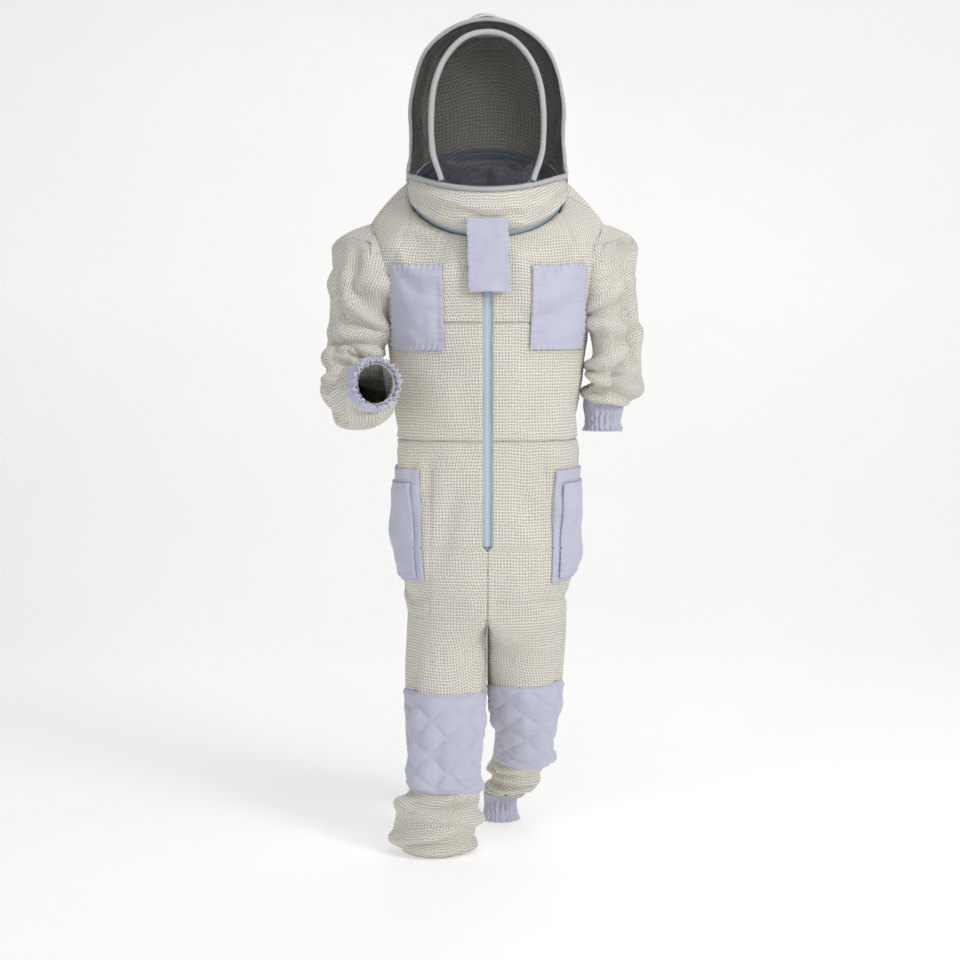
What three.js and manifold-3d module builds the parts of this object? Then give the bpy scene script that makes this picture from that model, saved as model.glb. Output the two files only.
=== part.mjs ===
// A ventilated beekeeping suit with a folding fencing hood, as worn: standing, right leg forward,
// right elbow bent. Millimetres, +Z up, the suit faces -Y and the wearer's left is +X.
// While it is drawn, x = 0 is the middle of the torso; at the end the whole suit is moved so that
// the origin is under the middle of its outline, at the height of its lowest hem.
import * as THREE from "three";
import { mergeVertices } from "three/addons/utils/BufferGeometryUtils.js";
import Module from "manifold-3d";

const wasm = await Module();
wasm.setup();

// ---- Driving dimensions ----
// Materials
const mesh = 5; // three-layer mesh fabric
const cotton = 2.4; // hemmed cotton drill
const net = 1.6; // veil net, with its seam allowance
const seam = 0.4; // gap between two panels that are sewn together
const lay = 0.6; // gap under a piece that is sewn onto a panel
const round = 2.5; // how square the torso's sections are: 2 is an ellipse

// Heights of the seams
const crotchZ = 470;
const waistZ = 826;
const chestZ = 1060;

// The straight front, where the zip runs
const frontY = -158;
const torsoMidY = -10;
const placket = 9; // from the middle of the zip to the fabric's edge

// Torso sections: height, half width, front, back
const torsoSections = [
  [crotchZ, 163, -150, 118],
  [545, 172, frontY, 128],
  [640, 183, frontY, 134],
  [740, 187, frontY, 127],
  [waistZ, 183, frontY, 114],
  [900, 185, frontY, 120],
  [980, 194, frontY, 130],
  [chestZ, 208, frontY, 134],
];

// The hood's zip: a circle that slopes down to the front
const ringRadius = 151;
const ringY = -28;
const ringZ = 1324;
const ringSlope = THREE.MathUtils.degToRad(35);
const ringEdge = 7; // from the middle of the zip to the fabric's edge
const ringSlack = 0.9; // what the facets of a round edge need

// Shoulders: the armhole is a circle, and the sleeve turns in it
const shoulder = new THREE.Vector3(229, 0, 1195);
const shoulderTilt = THREE.MathUtils.degToRad(9);
const armholeRadius = 100;
const armholeClearance = 0.5;

// Zip hardware
const toothGap = 0.6; // from the middle of the zip to a tooth
const toothWidth = 2.8;
const toothThickness = 3;
const tapeWidth = 13;
const ringTapeWidth = 9;
const tapeThickness = 1.2;
const sliderHalfWidth = 6;
const sliderLength = 16;
const sliderPlate = 1.6;
const sliderClearance = 0.7;
const pullLength = 22;
const frontZipBottom = 616;
const frontZipTop = 1218;
const frontSliderZ = 1196;
const hoodSliderAngle = THREE.MathUtils.degToRad(7);

// Hood
const pipingRadius = 5;
const hoopRadius = 5.5;
const wireRadius = 1.8;
const wireHole = 2.3;
const rearHoopY = -6;
const rearHoopHalf = 152;
const rearHoopTop = 1668;
const rearHoopSpring = 1515; // where the rear hoop's sides start to lean in
const frontHoopHalf = 108;
const frontHoopFoot = 89;
const frontHoopTop = 1630;
const frontHoopSpring = 1500;
const frontHoopTopY = -108;

// ---- Small helpers ----
const V = (x, y, z) => new THREE.Vector3(x, y, z);
const lerp = THREE.MathUtils.lerp;
const rad = THREE.MathUtils.degToRad;
const smooth = (x) => THREE.MathUtils.smoothstep(x, 0, 1);
const X = V(1, 0, 0);

// The distance to a superellipse of half axes 1 along a direction.
function squareness(angle, power = round) {
  const c = Math.abs(Math.cos(angle)) ** power;
  const s = Math.abs(Math.sin(angle)) ** power;
  return (c + s) ** (-1 / power);
}

// Values between hand-set stations, [position, ...values], joined by a smooth curve.
function stations(list) {
  const slope = (k, c) => {
    const a = list[Math.max(k - 1, 0)];
    const b = list[Math.min(k + 1, list.length - 1)];
    return (b[c] - a[c]) / (b[0] - a[0]);
  };
  return (at) => {
    let k = 0;
    while (k < list.length - 2 && at > list[k + 1][0]) k++;
    const [a, b] = [list[k], list[k + 1]];
    const span = b[0] - a[0];
    const t = THREE.MathUtils.clamp((at - a[0]) / span, 0, 1);
    const [t2, t3] = [t * t, t * t * t];
    return a.slice(1).map((value, i) => {
      const c = i + 1;
      const from = (2 * t3 - 3 * t2 + 1) * value + (t3 - 2 * t2 + t) * span * slope(k, c);
      const to = (3 * t2 - 2 * t3) * b[c] + (t3 - t2) * span * slope(k + 1, c);
      return from + to;
    });
  };
}

function bezier(a, b, c, d, t) {
  return new THREE.CubicBezierCurve3(a, b, c, d).getPoint(t);
}

// ---- Solids ----
const suit = new THREE.Group();

const looks = {
  mesh_fabric: { color: 0xd8d4c8, roughness: 0.95 },
  white_cotton: { color: 0xd5d6e6, roughness: 0.9 },
  quilted_cotton: { color: 0xcfcfe0, roughness: 0.85 },
  veil_net: { color: 0x17171a, roughness: 0.8 },
  binding: { color: 0xd9d8dc, roughness: 0.9 },
  zip_tape: { color: 0xc9d8e4, roughness: 0.85 },
  zip_teeth: { color: 0xd6e2ea, roughness: 0.45 },
  zip_metal: { color: 0xb9bcc2, roughness: 0.35, metalness: 0.9 },
  elastic: { color: 0xe6e6e2, roughness: 0.8 },
  hoop_wire: { color: 0x9a9da2, roughness: 0.4, metalness: 0.9 },
};

function add(name, look, geometry) {
  const material = new THREE.MeshStandardMaterial({ metalness: 0, ...looks[look] });
  const piece = new THREE.Mesh(geometry, material);
  piece.name = name;
  suit.add(piece);
  return piece;
}

// One closed solid between two sheets, outer(s, t) and inner(s, t), with s and t from 0 to 1.
// A wrapped sheet closes on itself in t, as a tube does.
function shell(outer, inner, rows, columns, wrapped = false) {
  const points = [];
  const across = wrapped ? columns : columns + 1;
  for (const sheet of [outer, inner])
    for (let i = 0; i <= rows; i++)
      for (let j = 0; j < across; j++) points.push(sheet(i / rows, j / columns));
  const at = (side, i, j) => (side * (rows + 1) + i) * across + (j % across);
  const faces = [];
  const quad = (a, b, c, d) => faces.push(a, b, c, a, c, d);
  for (let j = 0; j < columns; j++) {
    for (let i = 0; i < rows; i++) {
      quad(at(0, i, j), at(0, i, j + 1), at(0, i + 1, j + 1), at(0, i + 1, j));
      quad(at(1, i, j), at(1, i + 1, j), at(1, i + 1, j + 1), at(1, i, j + 1));
    }
    quad(at(0, 0, j), at(1, 0, j), at(1, 0, j + 1), at(0, 0, j + 1));
    quad(at(0, rows, j), at(0, rows, j + 1), at(1, rows, j + 1), at(1, rows, j));
  }
  if (!wrapped)
    for (let i = 0; i < rows; i++) {
      quad(at(0, i, 0), at(0, i + 1, 0), at(1, i + 1, 0), at(1, i, 0));
      quad(at(0, i, columns), at(1, i, columns), at(1, i + 1, columns), at(0, i + 1, columns));
    }
  let volume = 0;
  for (let k = 0; k < faces.length; k += 3) {
    const [a, b, c] = [points[faces[k]], points[faces[k + 1]], points[faces[k + 2]]];
    volume += a.dot(V(0, 0, 0).crossVectors(b, c));
  }
  if (volume < 0) faces.reverse();
  return new THREE.BufferGeometry().setFromPoints(points).setIndex(faces);
}

// A sheet moved along its own normal. Outwards is away from heart at the middle of the sheet.
function offset(sheet, distance, heart) {
  const step = 1e-3;
  const normal = (s, t) => {
    const ds = sheet(s + step, t).sub(sheet(s - step, t));
    const dt = sheet(s, t + step).sub(sheet(s, t - step));
    return ds.cross(dt).normalize();
  };
  const middle = sheet(0.5, 0.5);
  const outwards = Math.sign(normal(0.5, 0.5).dot(middle.clone().sub(heart(middle))));
  return (s, t) => sheet(s, t).addScaledVector(normal(s, t), outwards * distance);
}

// A panel of fabric whose outer face is the sheet.
const panel = (sheet, thickness, heart, rows, columns) =>
  shell(sheet, offset(sheet, -thickness, heart), rows, columns);

// A patch that lies on the sheet.
const patch = (sheet, thickness, heart, rows, columns, under = lay) =>
  shell(offset(sheet, under + thickness, heart), offset(sheet, under, heart), rows, columns);

function solidOf(geometry) {
  const bare = new THREE.BufferGeometry()
    .setAttribute("position", geometry.getAttribute("position"))
    .setIndex(geometry.index);
  const merged = mergeVertices(bare, 1e-3);
  return new wasm.Manifold(
    new wasm.Mesh({
      numProp: 3,
      vertProperties: merged.attributes.position.array,
      triVerts: new Uint32Array(merged.index.array),
    }),
  );
}

function geometryOf(solid) {
  const made = solid.getMesh();
  return new THREE.BufferGeometry()
    .setAttribute("position", new THREE.BufferAttribute(made.vertProperties, 3))
    .setIndex(new THREE.BufferAttribute(made.triVerts, 1));
}

const cut = (geometry, ...tools) =>
  geometryOf(tools.reduce((solid, tool) => solid.subtract(solidOf(tool)), solidOf(geometry)));

const join = (...geometries) =>
  geometryOf(geometries.map(solidOf).reduce((whole, next) => whole.add(next)));

function box(x0, x1, y0, y1, z0, z1) {
  const [x, y, z] = [(x0 + x1) / 2, (y0 + y1) / 2, (z0 + z1) / 2];
  return new THREE.BoxGeometry(x1 - x0, y1 - y0, z1 - z0).translate(x, y, z);
}

// ---- Torso ----
const torsoProfile = stations(torsoSections);
const torsoHeart = (p) => V(0, torsoMidY, p.z);
const torsoHalf = (z) => torsoProfile(z)[0];

// A point of the torso: angle 0 is the front, a quarter turn the wearer's left, half a turn the back.
function torsoPoint(angle, z) {
  const [half, front, back] = torsoProfile(z);
  const r = squareness(angle);
  const depth = Math.cos(angle) > 0 ? torsoMidY - front : back - torsoMidY;
  return V(half * r * Math.sin(angle), torsoMidY - depth * r * Math.cos(angle), z);
}

// The angle at which a loop of that half width is the distance x from the middle.
function angleFor(x, half) {
  const share = Math.min(Math.abs(x) / half, 0.999);
  return Math.sign(x) * Math.atan2(share, (1 - share ** round) ** (1 / round));
}

// A stretch of torso between two heights and two angles. The angles can depend on the height.
const torsoSheet = (low, high, from, to) => (s, t) => {
  const z = lerp(low, high, s);
  return torsoPoint(lerp(from(z), to(z), t), z);
};

// The fabric stops at the zip, and below the zip the two sides are sewn to each other.
const frontEdge = (z) =>
  lerp(seam / 2, placket, smooth((z - frontZipBottom + placket) / placket));
const typicalRadius = 200;
const seamAngle = seam / 2 / typicalRadius;
const atFront = (side) => (z) => side * angleFor(frontEdge(z), torsoHalf(z));
const atSide = (side, backwards) => () => side * (Math.PI / 2 - backwards * seamAngle);

const bodyRows = [
  { name: "body", low: waistZ + seam / 2, high: chestZ - seam / 2, rows: 6, columns: 11 },
  { name: "trouser", low: crotchZ + seam / 2, high: waistZ - seam / 2, rows: 10, columns: 8 },
];
for (const { name, low, high, rows, columns } of bodyRows) {
  for (const [hand, side] of [["right", -1], ["left", 1]]) {
    const sheet = torsoSheet(low, high, atFront(side), atSide(side, 1));
    add(`${name}_front_${hand}`, "mesh_fabric", panel(sheet, mesh, torsoHeart, rows, columns));
  }
  const back = torsoSheet(low, high, atSide(1, -1), () => 1.5 * Math.PI - seamAngle);
  add(`${name}_back`, "mesh_fabric", panel(back, mesh, torsoHeart, rows, 14));
}

// The gathered elastic behind the waist, inside.
const waistElasticWidth = 36;
const waistElasticGap = 1.4;
const waistElasticThickness = 1.5;
const waistStart = Math.PI / 2 + Math.PI / 7;
const waistSheet = torsoSheet(
  waistZ - waistElasticWidth / 2,
  waistZ + waistElasticWidth / 2,
  () => waistStart,
  () => 2 * Math.PI - waistStart,
);
const insideOf = (sheet, gap, thickness, rows, columns) =>
  shell(
    offset(sheet, -mesh - gap, torsoHeart),
    offset(sheet, -mesh - gap - thickness, torsoHeart),
    rows,
    columns,
  );
add("waist_elastic", "elastic", insideOf(waistSheet, waistElasticGap, waistElasticThickness, 1, 10));

// ---- The hood zip's circle ----
const ringCentre = V(0, ringY, ringZ);
const ringForward = V(0, -Math.cos(ringSlope), -Math.sin(ringSlope));
const ringUp = V(0, -Math.sin(ringSlope), Math.cos(ringSlope));

function ringPoint(angle, radius, height) {
  return ringCentre
    .clone()
    .addScaledVector(X, radius * Math.sin(angle))
    .addScaledVector(ringForward, radius * Math.cos(angle))
    .addScaledVector(ringUp, height);
}

// ---- Yoke: from the chest seam over the shoulders to the hood's zip ----
// A loop round the body: its half width, front, middle and back, and its height at each.
function loop(angle, { half, front, middle, back, frontZ, sideZ, backZ }) {
  const r = squareness(angle);
  const c = Math.cos(angle);
  const depth = c > 0 ? middle - front : back - middle;
  const rise = (c > 0 ? frontZ : backZ) - sideZ;
  return V(half * r * Math.sin(angle), middle - depth * r * c, sideZ + rise * c * c);
}
const upperChest = {
  half: 230, front: frontY, middle: -10, back: 152, frontZ: 1120, sideZ: 1215, backZ: 1240,
};
const shoulderLine = {
  half: 290, front: frontY - 1, middle: -20, back: 133, frontZ: 1178, sideZ: 1350, backZ: 1375,
};
// How far the yoke's front edge lies outside the tape, so that it stays over the front zip.
const yokeFrontOut = 10;
const tapeFace = ringRadius + tapeThickness / 2 + seam + ringSlack;

// The fabric's edge at the zip, further out in front and behind, where the fabric stands upright.
const yokeEdge = (angle) => {
  const upright = Math.cos(angle) > 0 ? yokeFrontOut : mesh + ringSlack / 2;
  return ringPoint(angle, tapeFace + upright * Math.cos(angle) ** 2, -ringEdge);
};

function yokePoint(angle, s) {
  const low = torsoPoint(angle, chestZ);
  low.z += seam / 2;
  return bezier(low, loop(angle, upperChest), loop(angle, shoulderLine), yokeEdge(angle), s);
}
const yokeHalf = (s) => yokePoint(Math.PI / 2, s).x;
const yokeSheet = (from, to) => (s, t) => yokePoint(lerp(from(s), to(s), t), s);
const yokeHeart = (p) => V(0, torsoMidY, Math.min(p.z, 1190));

// The armhole's own directions: outwards along its axis, and up in its plane.
const shoulderOut = (side) => V(side * Math.cos(shoulderTilt), 0, -Math.sin(shoulderTilt));
const shoulderAt = (side) => V(side * shoulder.x, shoulder.y, shoulder.z);

const cutterLength = 160;
const cutterInside = 60; // how far the cutter reaches into the body
const cutterFacets = 40;
function armholeCutter(side) {
  const cutter = new THREE.CylinderGeometry(
    armholeRadius, armholeRadius, cutterLength, cutterFacets,
  );
  const turn = new THREE.Quaternion().setFromUnitVectors(V(0, 1, 0), shoulderOut(side));
  const centre = shoulderAt(side).addScaledVector(shoulderOut(side), cutterLength / 2 - cutterInside);
  return cutter.applyQuaternion(turn).translate(centre.x, centre.y, centre.z);
}

for (const [hand, side] of [["right", -1], ["left", 1]]) {
  const sheet = yokeSheet((s) => side * angleFor(placket, yokeHalf(s)), atSide(side, 1));
  const whole = panel(sheet, mesh, yokeHeart, 11, 11);
  add(`yoke_front_${hand}`, "mesh_fabric", cut(whole, armholeCutter(side)));
}
const yokeBack = yokeSheet(atSide(1, -1), () => 1.5 * Math.PI - seamAngle);
add(
  "yoke_back",
  "mesh_fabric",
  cut(panel(yokeBack, mesh, yokeHeart, 11, 16), armholeCutter(1), armholeCutter(-1)),
);

// ---- Limbs: tubes along a centre line ----
// Each station is [x, y, z, half size across, half size along]. The first two give the way in.
function limb(list, firstAlong = V(0, 1, 0)) {
  const line = new THREE.CatmullRomCurve3(list.map(([x, y, z]) => V(x, y, z)), false, "centripetal");
  const size = stations(list.map(([, , , a, b], k) => [k / (list.length - 1), a, b]));
  const steps = 40;
  const frames = [];
  let along = firstAlong;
  for (let k = 0; k <= steps; k++) {
    const tangent = line.getTangent(k / steps);
    along = along.clone().addScaledVector(tangent, -along.dot(tangent)).normalize();
    frames.push({ along, across: tangent.cross(along).normalize() });
  }
  return (angle, s) => {
    const at = THREE.MathUtils.clamp(s, 0, 1) * steps;
    const [low, high] = [frames[Math.floor(at)], frames[Math.ceil(at)]];
    const across = low.across.clone().lerp(high.across, at % 1).normalize();
    const down = low.along.clone().lerp(high.along, at % 1).normalize();
    const [a, b] = size(THREE.MathUtils.clamp(s, 0, 1));
    const r = squareness(angle, 2);
    return line
      .getPoint(THREE.MathUtils.clamp(s, 0, 1))
      .addScaledVector(across, a * r * Math.sin(angle))
      .addScaledVector(down, -b * r * Math.cos(angle));
  };
}
const around = (point, from, to) => (s, t) => point(t * 2 * Math.PI, lerp(from, to, s));
const limbHeart = (point, from, to) => () => {
  const s = (from + to) / 2;
  return point(0, s).add(point(Math.PI, s)).multiplyScalar(0.5);
};
function hose(point, from, to, wall, rows, columns, inset = 0) {
  const sheet = around(point, from, to);
  const heart = limbHeart(point, from, to);
  return shell(
    offset(sheet, -inset, heart), offset(sheet, -inset - wall, heart), rows, columns, true,
  );
}

// Sleeves: the wearer's right elbow is bent and the forearm points forwards, the left arm hangs.
const inArmhole = armholeRadius - armholeClearance;
const armholeStations = (side) =>
  [[-30, 0], [-10, 2], [2, 4]].map(([depth, less]) => {
    const p = shoulderAt(side).addScaledVector(shoulderOut(side), depth);
    return [p.x, p.y, p.z, inArmhole - less, inArmhole - less];
  });
const sleeves = {
  right: limb([
    ...armholeStations(-1),
    [-247, 0, 1158, 64, 88],
    [-271, 1, 1108, 54, 83],
    [-276, 0, 1058, 57, 76],
    [-285, -10, 1000, 57, 72],
    [-282, -48, 950, 58, 68],
    [-272, -95, 936, 58, 66],
    [-258, -140, 934, 58, 64],
    [-232, -222, 938, 57, 60],
    [-214, -290, 944, 54, 56],
    [-211, -312, 945, 49, 50],
    [-209, -350, 945, 46, 47],
  ]),
  left: limb([
    ...armholeStations(1),
    [247, 0, 1158, 60, 88],
    [263, 1, 1108, 46, 81],
    [260, 0, 1056, 44, 75],
    [264, 1, 1000, 50, 68],
    [261, 2, 960, 52, 62],
    [246, 2, 925, 44, 50],
    [240, 2, 906, 41, 42],
    [238, 1, 872, 39, 40],
    [238, 1, 840, 36, 37],
  ]),
};
const cuffFrom = { right: 12 / 13, left: 9 / 11 };
const cuffGap = 0.0012; // as a share of the sleeve
const elasticFrom = 0.5; // as shares of the cuff
const elasticTo = 0.85;
const elasticThickness = 1;
for (const hand of ["right", "left"]) {
  const point = sleeves[hand];
  const seamAt = cuffFrom[hand];
  const sleeveRows = hand === "right" ? 18 : 14;
  add(`sleeve_${hand}`, "mesh_fabric", hose(point, 0, seamAt, mesh, sleeveRows, 14));
  add(`wrist_cuff_${hand}`, "white_cotton", hose(point, seamAt + cuffGap, 1, cotton, 4, 16));
  const [from, to] = [lerp(seamAt, 1, elasticFrom), lerp(seamAt, 1, elasticTo)];
  const elastic = hose(point, from, to, elasticThickness, 1, 16, cotton + lay);
  add(`wrist_elastic_${hand}`, "elastic", elastic);
}

// Trouser legs and ankles: tubes of level rings, [x, y, z, half size across, half size fore and aft].
// The right leg stands forward and blouses over its ankle cuff, the left leg stands back.
const levelTube = (list) => {
  const ring = stations(list.map((values, k) => [k / (list.length - 1), ...values]));
  return (angle, s) => {
    const [x, y, z, a, b] = ring(s);
    return V(x + a * Math.sin(angle), y - b * Math.cos(angle), z);
  };
};
const ankles = {
  right: [-94, -133, 38],
  left: [30, 121, 36],
};
const ankleTop = 58;
const hemDepth = 8; // the stretch of cuff over its hem that stands straight
const legMid = 86;
const gussetHalf = 8;
const legs = {
  right: levelTube([
    [-legMid, -14, crotchZ - seam / 2, 78, 128],
    [-80, -26, 405, 71, 104],
    [-85, -46, 323, 79, 92],
    [-90, -78, 235, 86, 88],
    [-86, -104, 165, 82, 84],
    [-82, -120, 122, 76, 80],
    [-94, -128, 84, 89, 86],
    [-97, -131, 44, 91, 82],
    [-94, -133, 15, 80, 70],
    [-94, -133, 5.5, 63, 58],
    [-94, -133, 18, 47, 47],
    [-94, -133, ankleTop - 6, 38.9, 38.9],
  ]),
  left: levelTube([
    [legMid, -14, crotchZ - seam / 2, 78, 128],
    [83, -6, 405, 78, 104],
    [79, 14, 323, 73, 88],
    [78, 42, 250, 70, 80],
    [75, 72, 180, 66, 72],
    [66, 98, 124, 58, 62],
    [50, 113, 88, 46, 50],
    [31, 120.5, ankleTop + 2, 38, 38],
  ]),
};
const legBlend = { right: 1 / 11, left: 1 / 7 };

// The top of a leg is half of the torso's outline, stopped at the gusset.
function legTop(side, angle) {
  const [half, front, back] = torsoProfile(crotchZ);
  const direction = V(Math.sin(angle), -Math.cos(angle), 0);
  const centre = V(side * legMid, -14, 0);
  const inside = (p) => {
    const depth = p.y < torsoMidY ? torsoMidY - front : back - torsoMidY;
    const reach = Math.abs(p.x / half) ** round + Math.abs((p.y - torsoMidY) / depth) ** round;
    return side * p.x > gussetHalf + seam && reach < 1;
  };
  let [low, high] = [0, 300];
  for (let k = 0; k < 24; k++) {
    const middle = (low + high) / 2;
    if (inside(centre.clone().addScaledVector(direction, middle))) low = middle;
    else high = middle;
  }
  return centre.addScaledVector(direction, low);
}
function legPoint(hand) {
  const side = hand === "right" ? -1 : 1;
  return (angle, s) => {
    const p = legs[hand](angle, s);
    const top = legTop(side, angle).setZ(p.z);
    return top.lerp(p, smooth(s / legBlend[hand]));
  };
}
const legRows = { right: 20, left: 14 };
const legSeamAngle = seamAngle * 3; // a leg is about a third as wide as the torso
for (const hand of ["right", "left"]) {
  const point = legPoint(hand);
  const heart = () => V(legs[hand](0, 0.5).x, legs[hand](Math.PI / 2, 0.5).y, crotchZ / 2);
  const half = (from) => (s, t) =>
    point(lerp(from + legSeamAngle, from + Math.PI - legSeamAngle, t), s);
  const build = (from) => panel(half(from), mesh, heart, legRows[hand], 9);
  add(`leg_front_${hand}`, "mesh_fabric", build(-Math.PI / 2));
  add(`leg_back_${hand}`, "mesh_fabric", build(Math.PI / 2));
}

const [, crotchFront, crotchBack] = torsoProfile(crotchZ);
const gussetInset = 6; // inside the torso's outer face
const gussetLow = crotchZ - 8;
add(
  "crotch_gusset",
  "mesh_fabric",
  box(
    -gussetHalf,
    gussetHalf,
    crotchFront + gussetInset,
    crotchBack - gussetInset,
    gussetLow,
    gussetLow + mesh,
  ),
);

// Ankle cuffs, elasticated: the left one shows, the right one is inside the bloused leg.
const ankleWaist = 2; // how far the elastic draws the cuff in
const ankleElastic = { from: 0.2, to: 0.5 }; // as shares of the cuff
for (const hand of ["right", "left"]) {
  const [x, y, r] = ankles[hand];
  const cuff = levelTube([
    [x, y, ankleTop, r, r],
    [x, y, ankleTop / 2, r - ankleWaist, r - ankleWaist],
    [x, y, hemDepth, r, r],
    [x, y, 0, r, r],
  ]);
  add(`ankle_cuff_${hand}`, "white_cotton", hose(cuff, 0, 1, cotton, 6, 16));
  const { from, to } = ankleElastic;
  const elastic = hose(cuff, from, to, elasticThickness, 1, 16, cotton + 2 * lay);
  add(`ankle_elastic_${hand}`, "elastic", elastic);
}

// Quilted knee pads, sewn onto the front of each leg.
const kneePad = { right: [0.18, 0.375], left: [0.28, 0.6] };
const kneePadTurn = rad(62);
const kneePadThickness = 8;
const kneePadUnder = 1.7; // the facets of the leg and the pad differ by nearly as much
for (const hand of ["right", "left"]) {
  const point = legPoint(hand);
  const [from, to] = kneePad[hand];
  const sheet = (s, t) => point(lerp(-kneePadTurn, kneePadTurn, t), lerp(from, to, s));
  const heart = limbHeart(point, from, to);
  add(`knee_pad_${hand}`, "quilted_cotton", patch(sheet, kneePadThickness, heart, 6, 8, kneePadUnder));
}

// ---- Pockets ----
// The suit's surface at a distance x from the middle, from the trousers up to the shoulder.
function frontPoint(x, z) {
  if (z <= chestZ) return torsoPoint(angleFor(x, torsoHalf(z)), z);
  const at = (s) => yokePoint(angleFor(x, yokeHalf(s)), s);
  let [low, high] = [0, 1];
  for (let k = 0; k < 20; k++) {
    const middle = (low + high) / 2;
    if (at(middle).z < z) low = middle;
    else high = middle;
  }
  return at(low);
}

const pocketUnder = 1.6; // the facets of the torso and a pocket differ by nearly as much
const chestPockets = { right: [-190, -88, 1008, 1172], left: [87, 192, 1010, 1172] };
for (const [hand, [x0, x1, z0, z1]] of Object.entries(chestPockets)) {
  const sheet = (s, t) => frontPoint(lerp(x0, x1, t), lerp(z0, z1, s));
  add(`chest_pocket_${hand}`, "white_cotton", patch(sheet, 2 * cotton, torsoHeart, 6, 8, pocketUnder));
}

// Each side pocket is a backing panel round the hip, with a smaller pocket sewn on it.
const hipPocket = { low: 545, high: 768, from: rad(42), to: rad(118) };
const hipInset = { bottom: 8, top: 20, side: rad(4), gap: 1 };
for (const [hand, side] of [["right", -1], ["left", 1]]) {
  const { low, high, from, to } = hipPocket;
  const backing = torsoSheet(low, high, () => side * from, () => side * to);
  const backingPatch = patch(backing, cotton, torsoHeart, 6, 8, pocketUnder);
  add(`hip_pocket_backing_${hand}`, "white_cotton", backingPatch);
  const inner = torsoSheet(
    low + hipInset.bottom,
    high - hipInset.top,
    () => side * (from + hipInset.side),
    () => side * (to - hipInset.side),
  );
  const under = pocketUnder + cotton + hipInset.gap;
  add(`hip_pocket_${hand}`, "white_cotton", patch(inner, 2 * cotton, torsoHeart, 6, 8, under));
}

// ---- Front zip ----
const tapeUnder = 1.4; // gap between the fabric and the tape behind it
const zipY = frontY + mesh + tapeUnder + tapeThickness / 2; // the middle of the tape's thickness
for (const [hand, side] of [["right", -1], ["left", 1]]) {
  const teethIn = side * toothGap;
  const teethOut = side * (toothGap + toothWidth);
  const tapeIn = teethOut + side * seam;
  const tapeOut = tapeIn + side * tapeWidth;
  const [half, tapeHalf] = [toothThickness / 2, tapeThickness / 2];
  const strip = (a, b, depth) =>
    box(Math.min(a, b), Math.max(a, b), zipY - depth, zipY + depth, frontZipBottom, frontZipTop);
  add(`front_zip_teeth_${hand}`, "zip_teeth", strip(teethIn, teethOut, half));
  add(`front_zip_tape_${hand}`, "zip_tape", strip(tapeIn, tapeOut, tapeHalf));
}
const teethFace = toothThickness / 2 + sliderClearance;
const stop = { half: 4, depth: 2.2, height: 5 };
const stopTop = frontZipBottom - seam;
add(
  "front_zip_bottom_stop",
  "zip_metal",
  box(
    -stop.half,
    stop.half,
    zipY - stop.depth,
    zipY + stop.depth,
    stopTop - stop.height,
    stopTop,
  ),
);

// A zip slider round teeth that run along Z and face -Y: two plates, the web between the two rows
// of teeth, and the bridge that holds the pull.
const bridge = { half: 1.2, low: -3, high: 6, post: 1, gap: 2.2, thickness: 1.2 };
const pull = { half: 3, window: 1.8, bar: 1.4, thickness: 1, barZ: 3.5, body: -5 };
const plateFace = -teethFace - sliderPlate; // the front plate's outer face
const pullY = plateFace - bridge.gap / 2; // the pull turns about this line
function slider() {
  const [w, l] = [sliderHalfWidth, sliderLength / 2];
  const { half, low, high, post, gap, thickness } = bridge;
  const strapIn = plateFace - gap;
  return join(
    box(-w, w, plateFace, -teethFace, -l, l),
    box(-w, w, teethFace, teethFace + sliderPlate, -l, l),
    box(-toothGap / 2, toothGap / 2, -teethFace - 0.1, teethFace + 0.1, -l, l),
    box(-half, half, strapIn - thickness, strapIn, low, high),
    box(-half, half, strapIn - 0.1, plateFace + 0.1, low, low + post),
    box(-half, half, strapIn - 0.1, plateFace + 0.1, high - post, high),
  );
}
function pullTab() {
  const { half, window, bar, thickness, barZ, body } = pull;
  const [front, rear] = [pullY - thickness / 2, pullY + thickness / 2];
  const whole = box(-half, half, front, rear, barZ - pullLength, barZ + bar / 2);
  return cut(whole, box(-window, window, front - 1, rear + 1, body, barZ - bar / 2));
}
const alongFront = new THREE.Matrix4().makeTranslation(0, zipY, frontSliderZ);
add("front_slider", "zip_metal", slider().applyMatrix4(alongFront));
add("front_pull", "zip_metal", pullTab().applyMatrix4(alongFront));

// ---- Hood zip: a row of teeth and a tape above and below the circle ----
const ringTurn = new THREE.Matrix4()
  .makeBasis(X, ringUp, ringForward)
  .setPosition(ringCentre);
const ringSegments = 60;
function ringBand(inner, outer, low, high) {
  const corners = [[inner, low], [outer, low], [outer, high], [inner, high], [inner, low]];
  const profile = corners.map(([r, h]) => new THREE.Vector2(r, h));
  return new THREE.LatheGeometry(profile, ringSegments).applyMatrix4(ringTurn);
}
for (const [part, side] of [["hood", 1], ["body", -1]]) {
  const band = (from, width, depth) => {
    const [a, b] = [side * from, side * (from + width)];
    return ringBand(ringRadius - depth, ringRadius + depth, Math.min(a, b), Math.max(a, b));
  };
  add(`hood_zip_teeth_${part}`, "zip_teeth", band(toothGap, toothWidth, toothThickness / 2));
  const tape = band(toothGap + toothWidth + seam, ringTapeWidth, tapeThickness / 2);
  add(`hood_zip_tape_${part}`, "zip_tape", tape);
}
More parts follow.
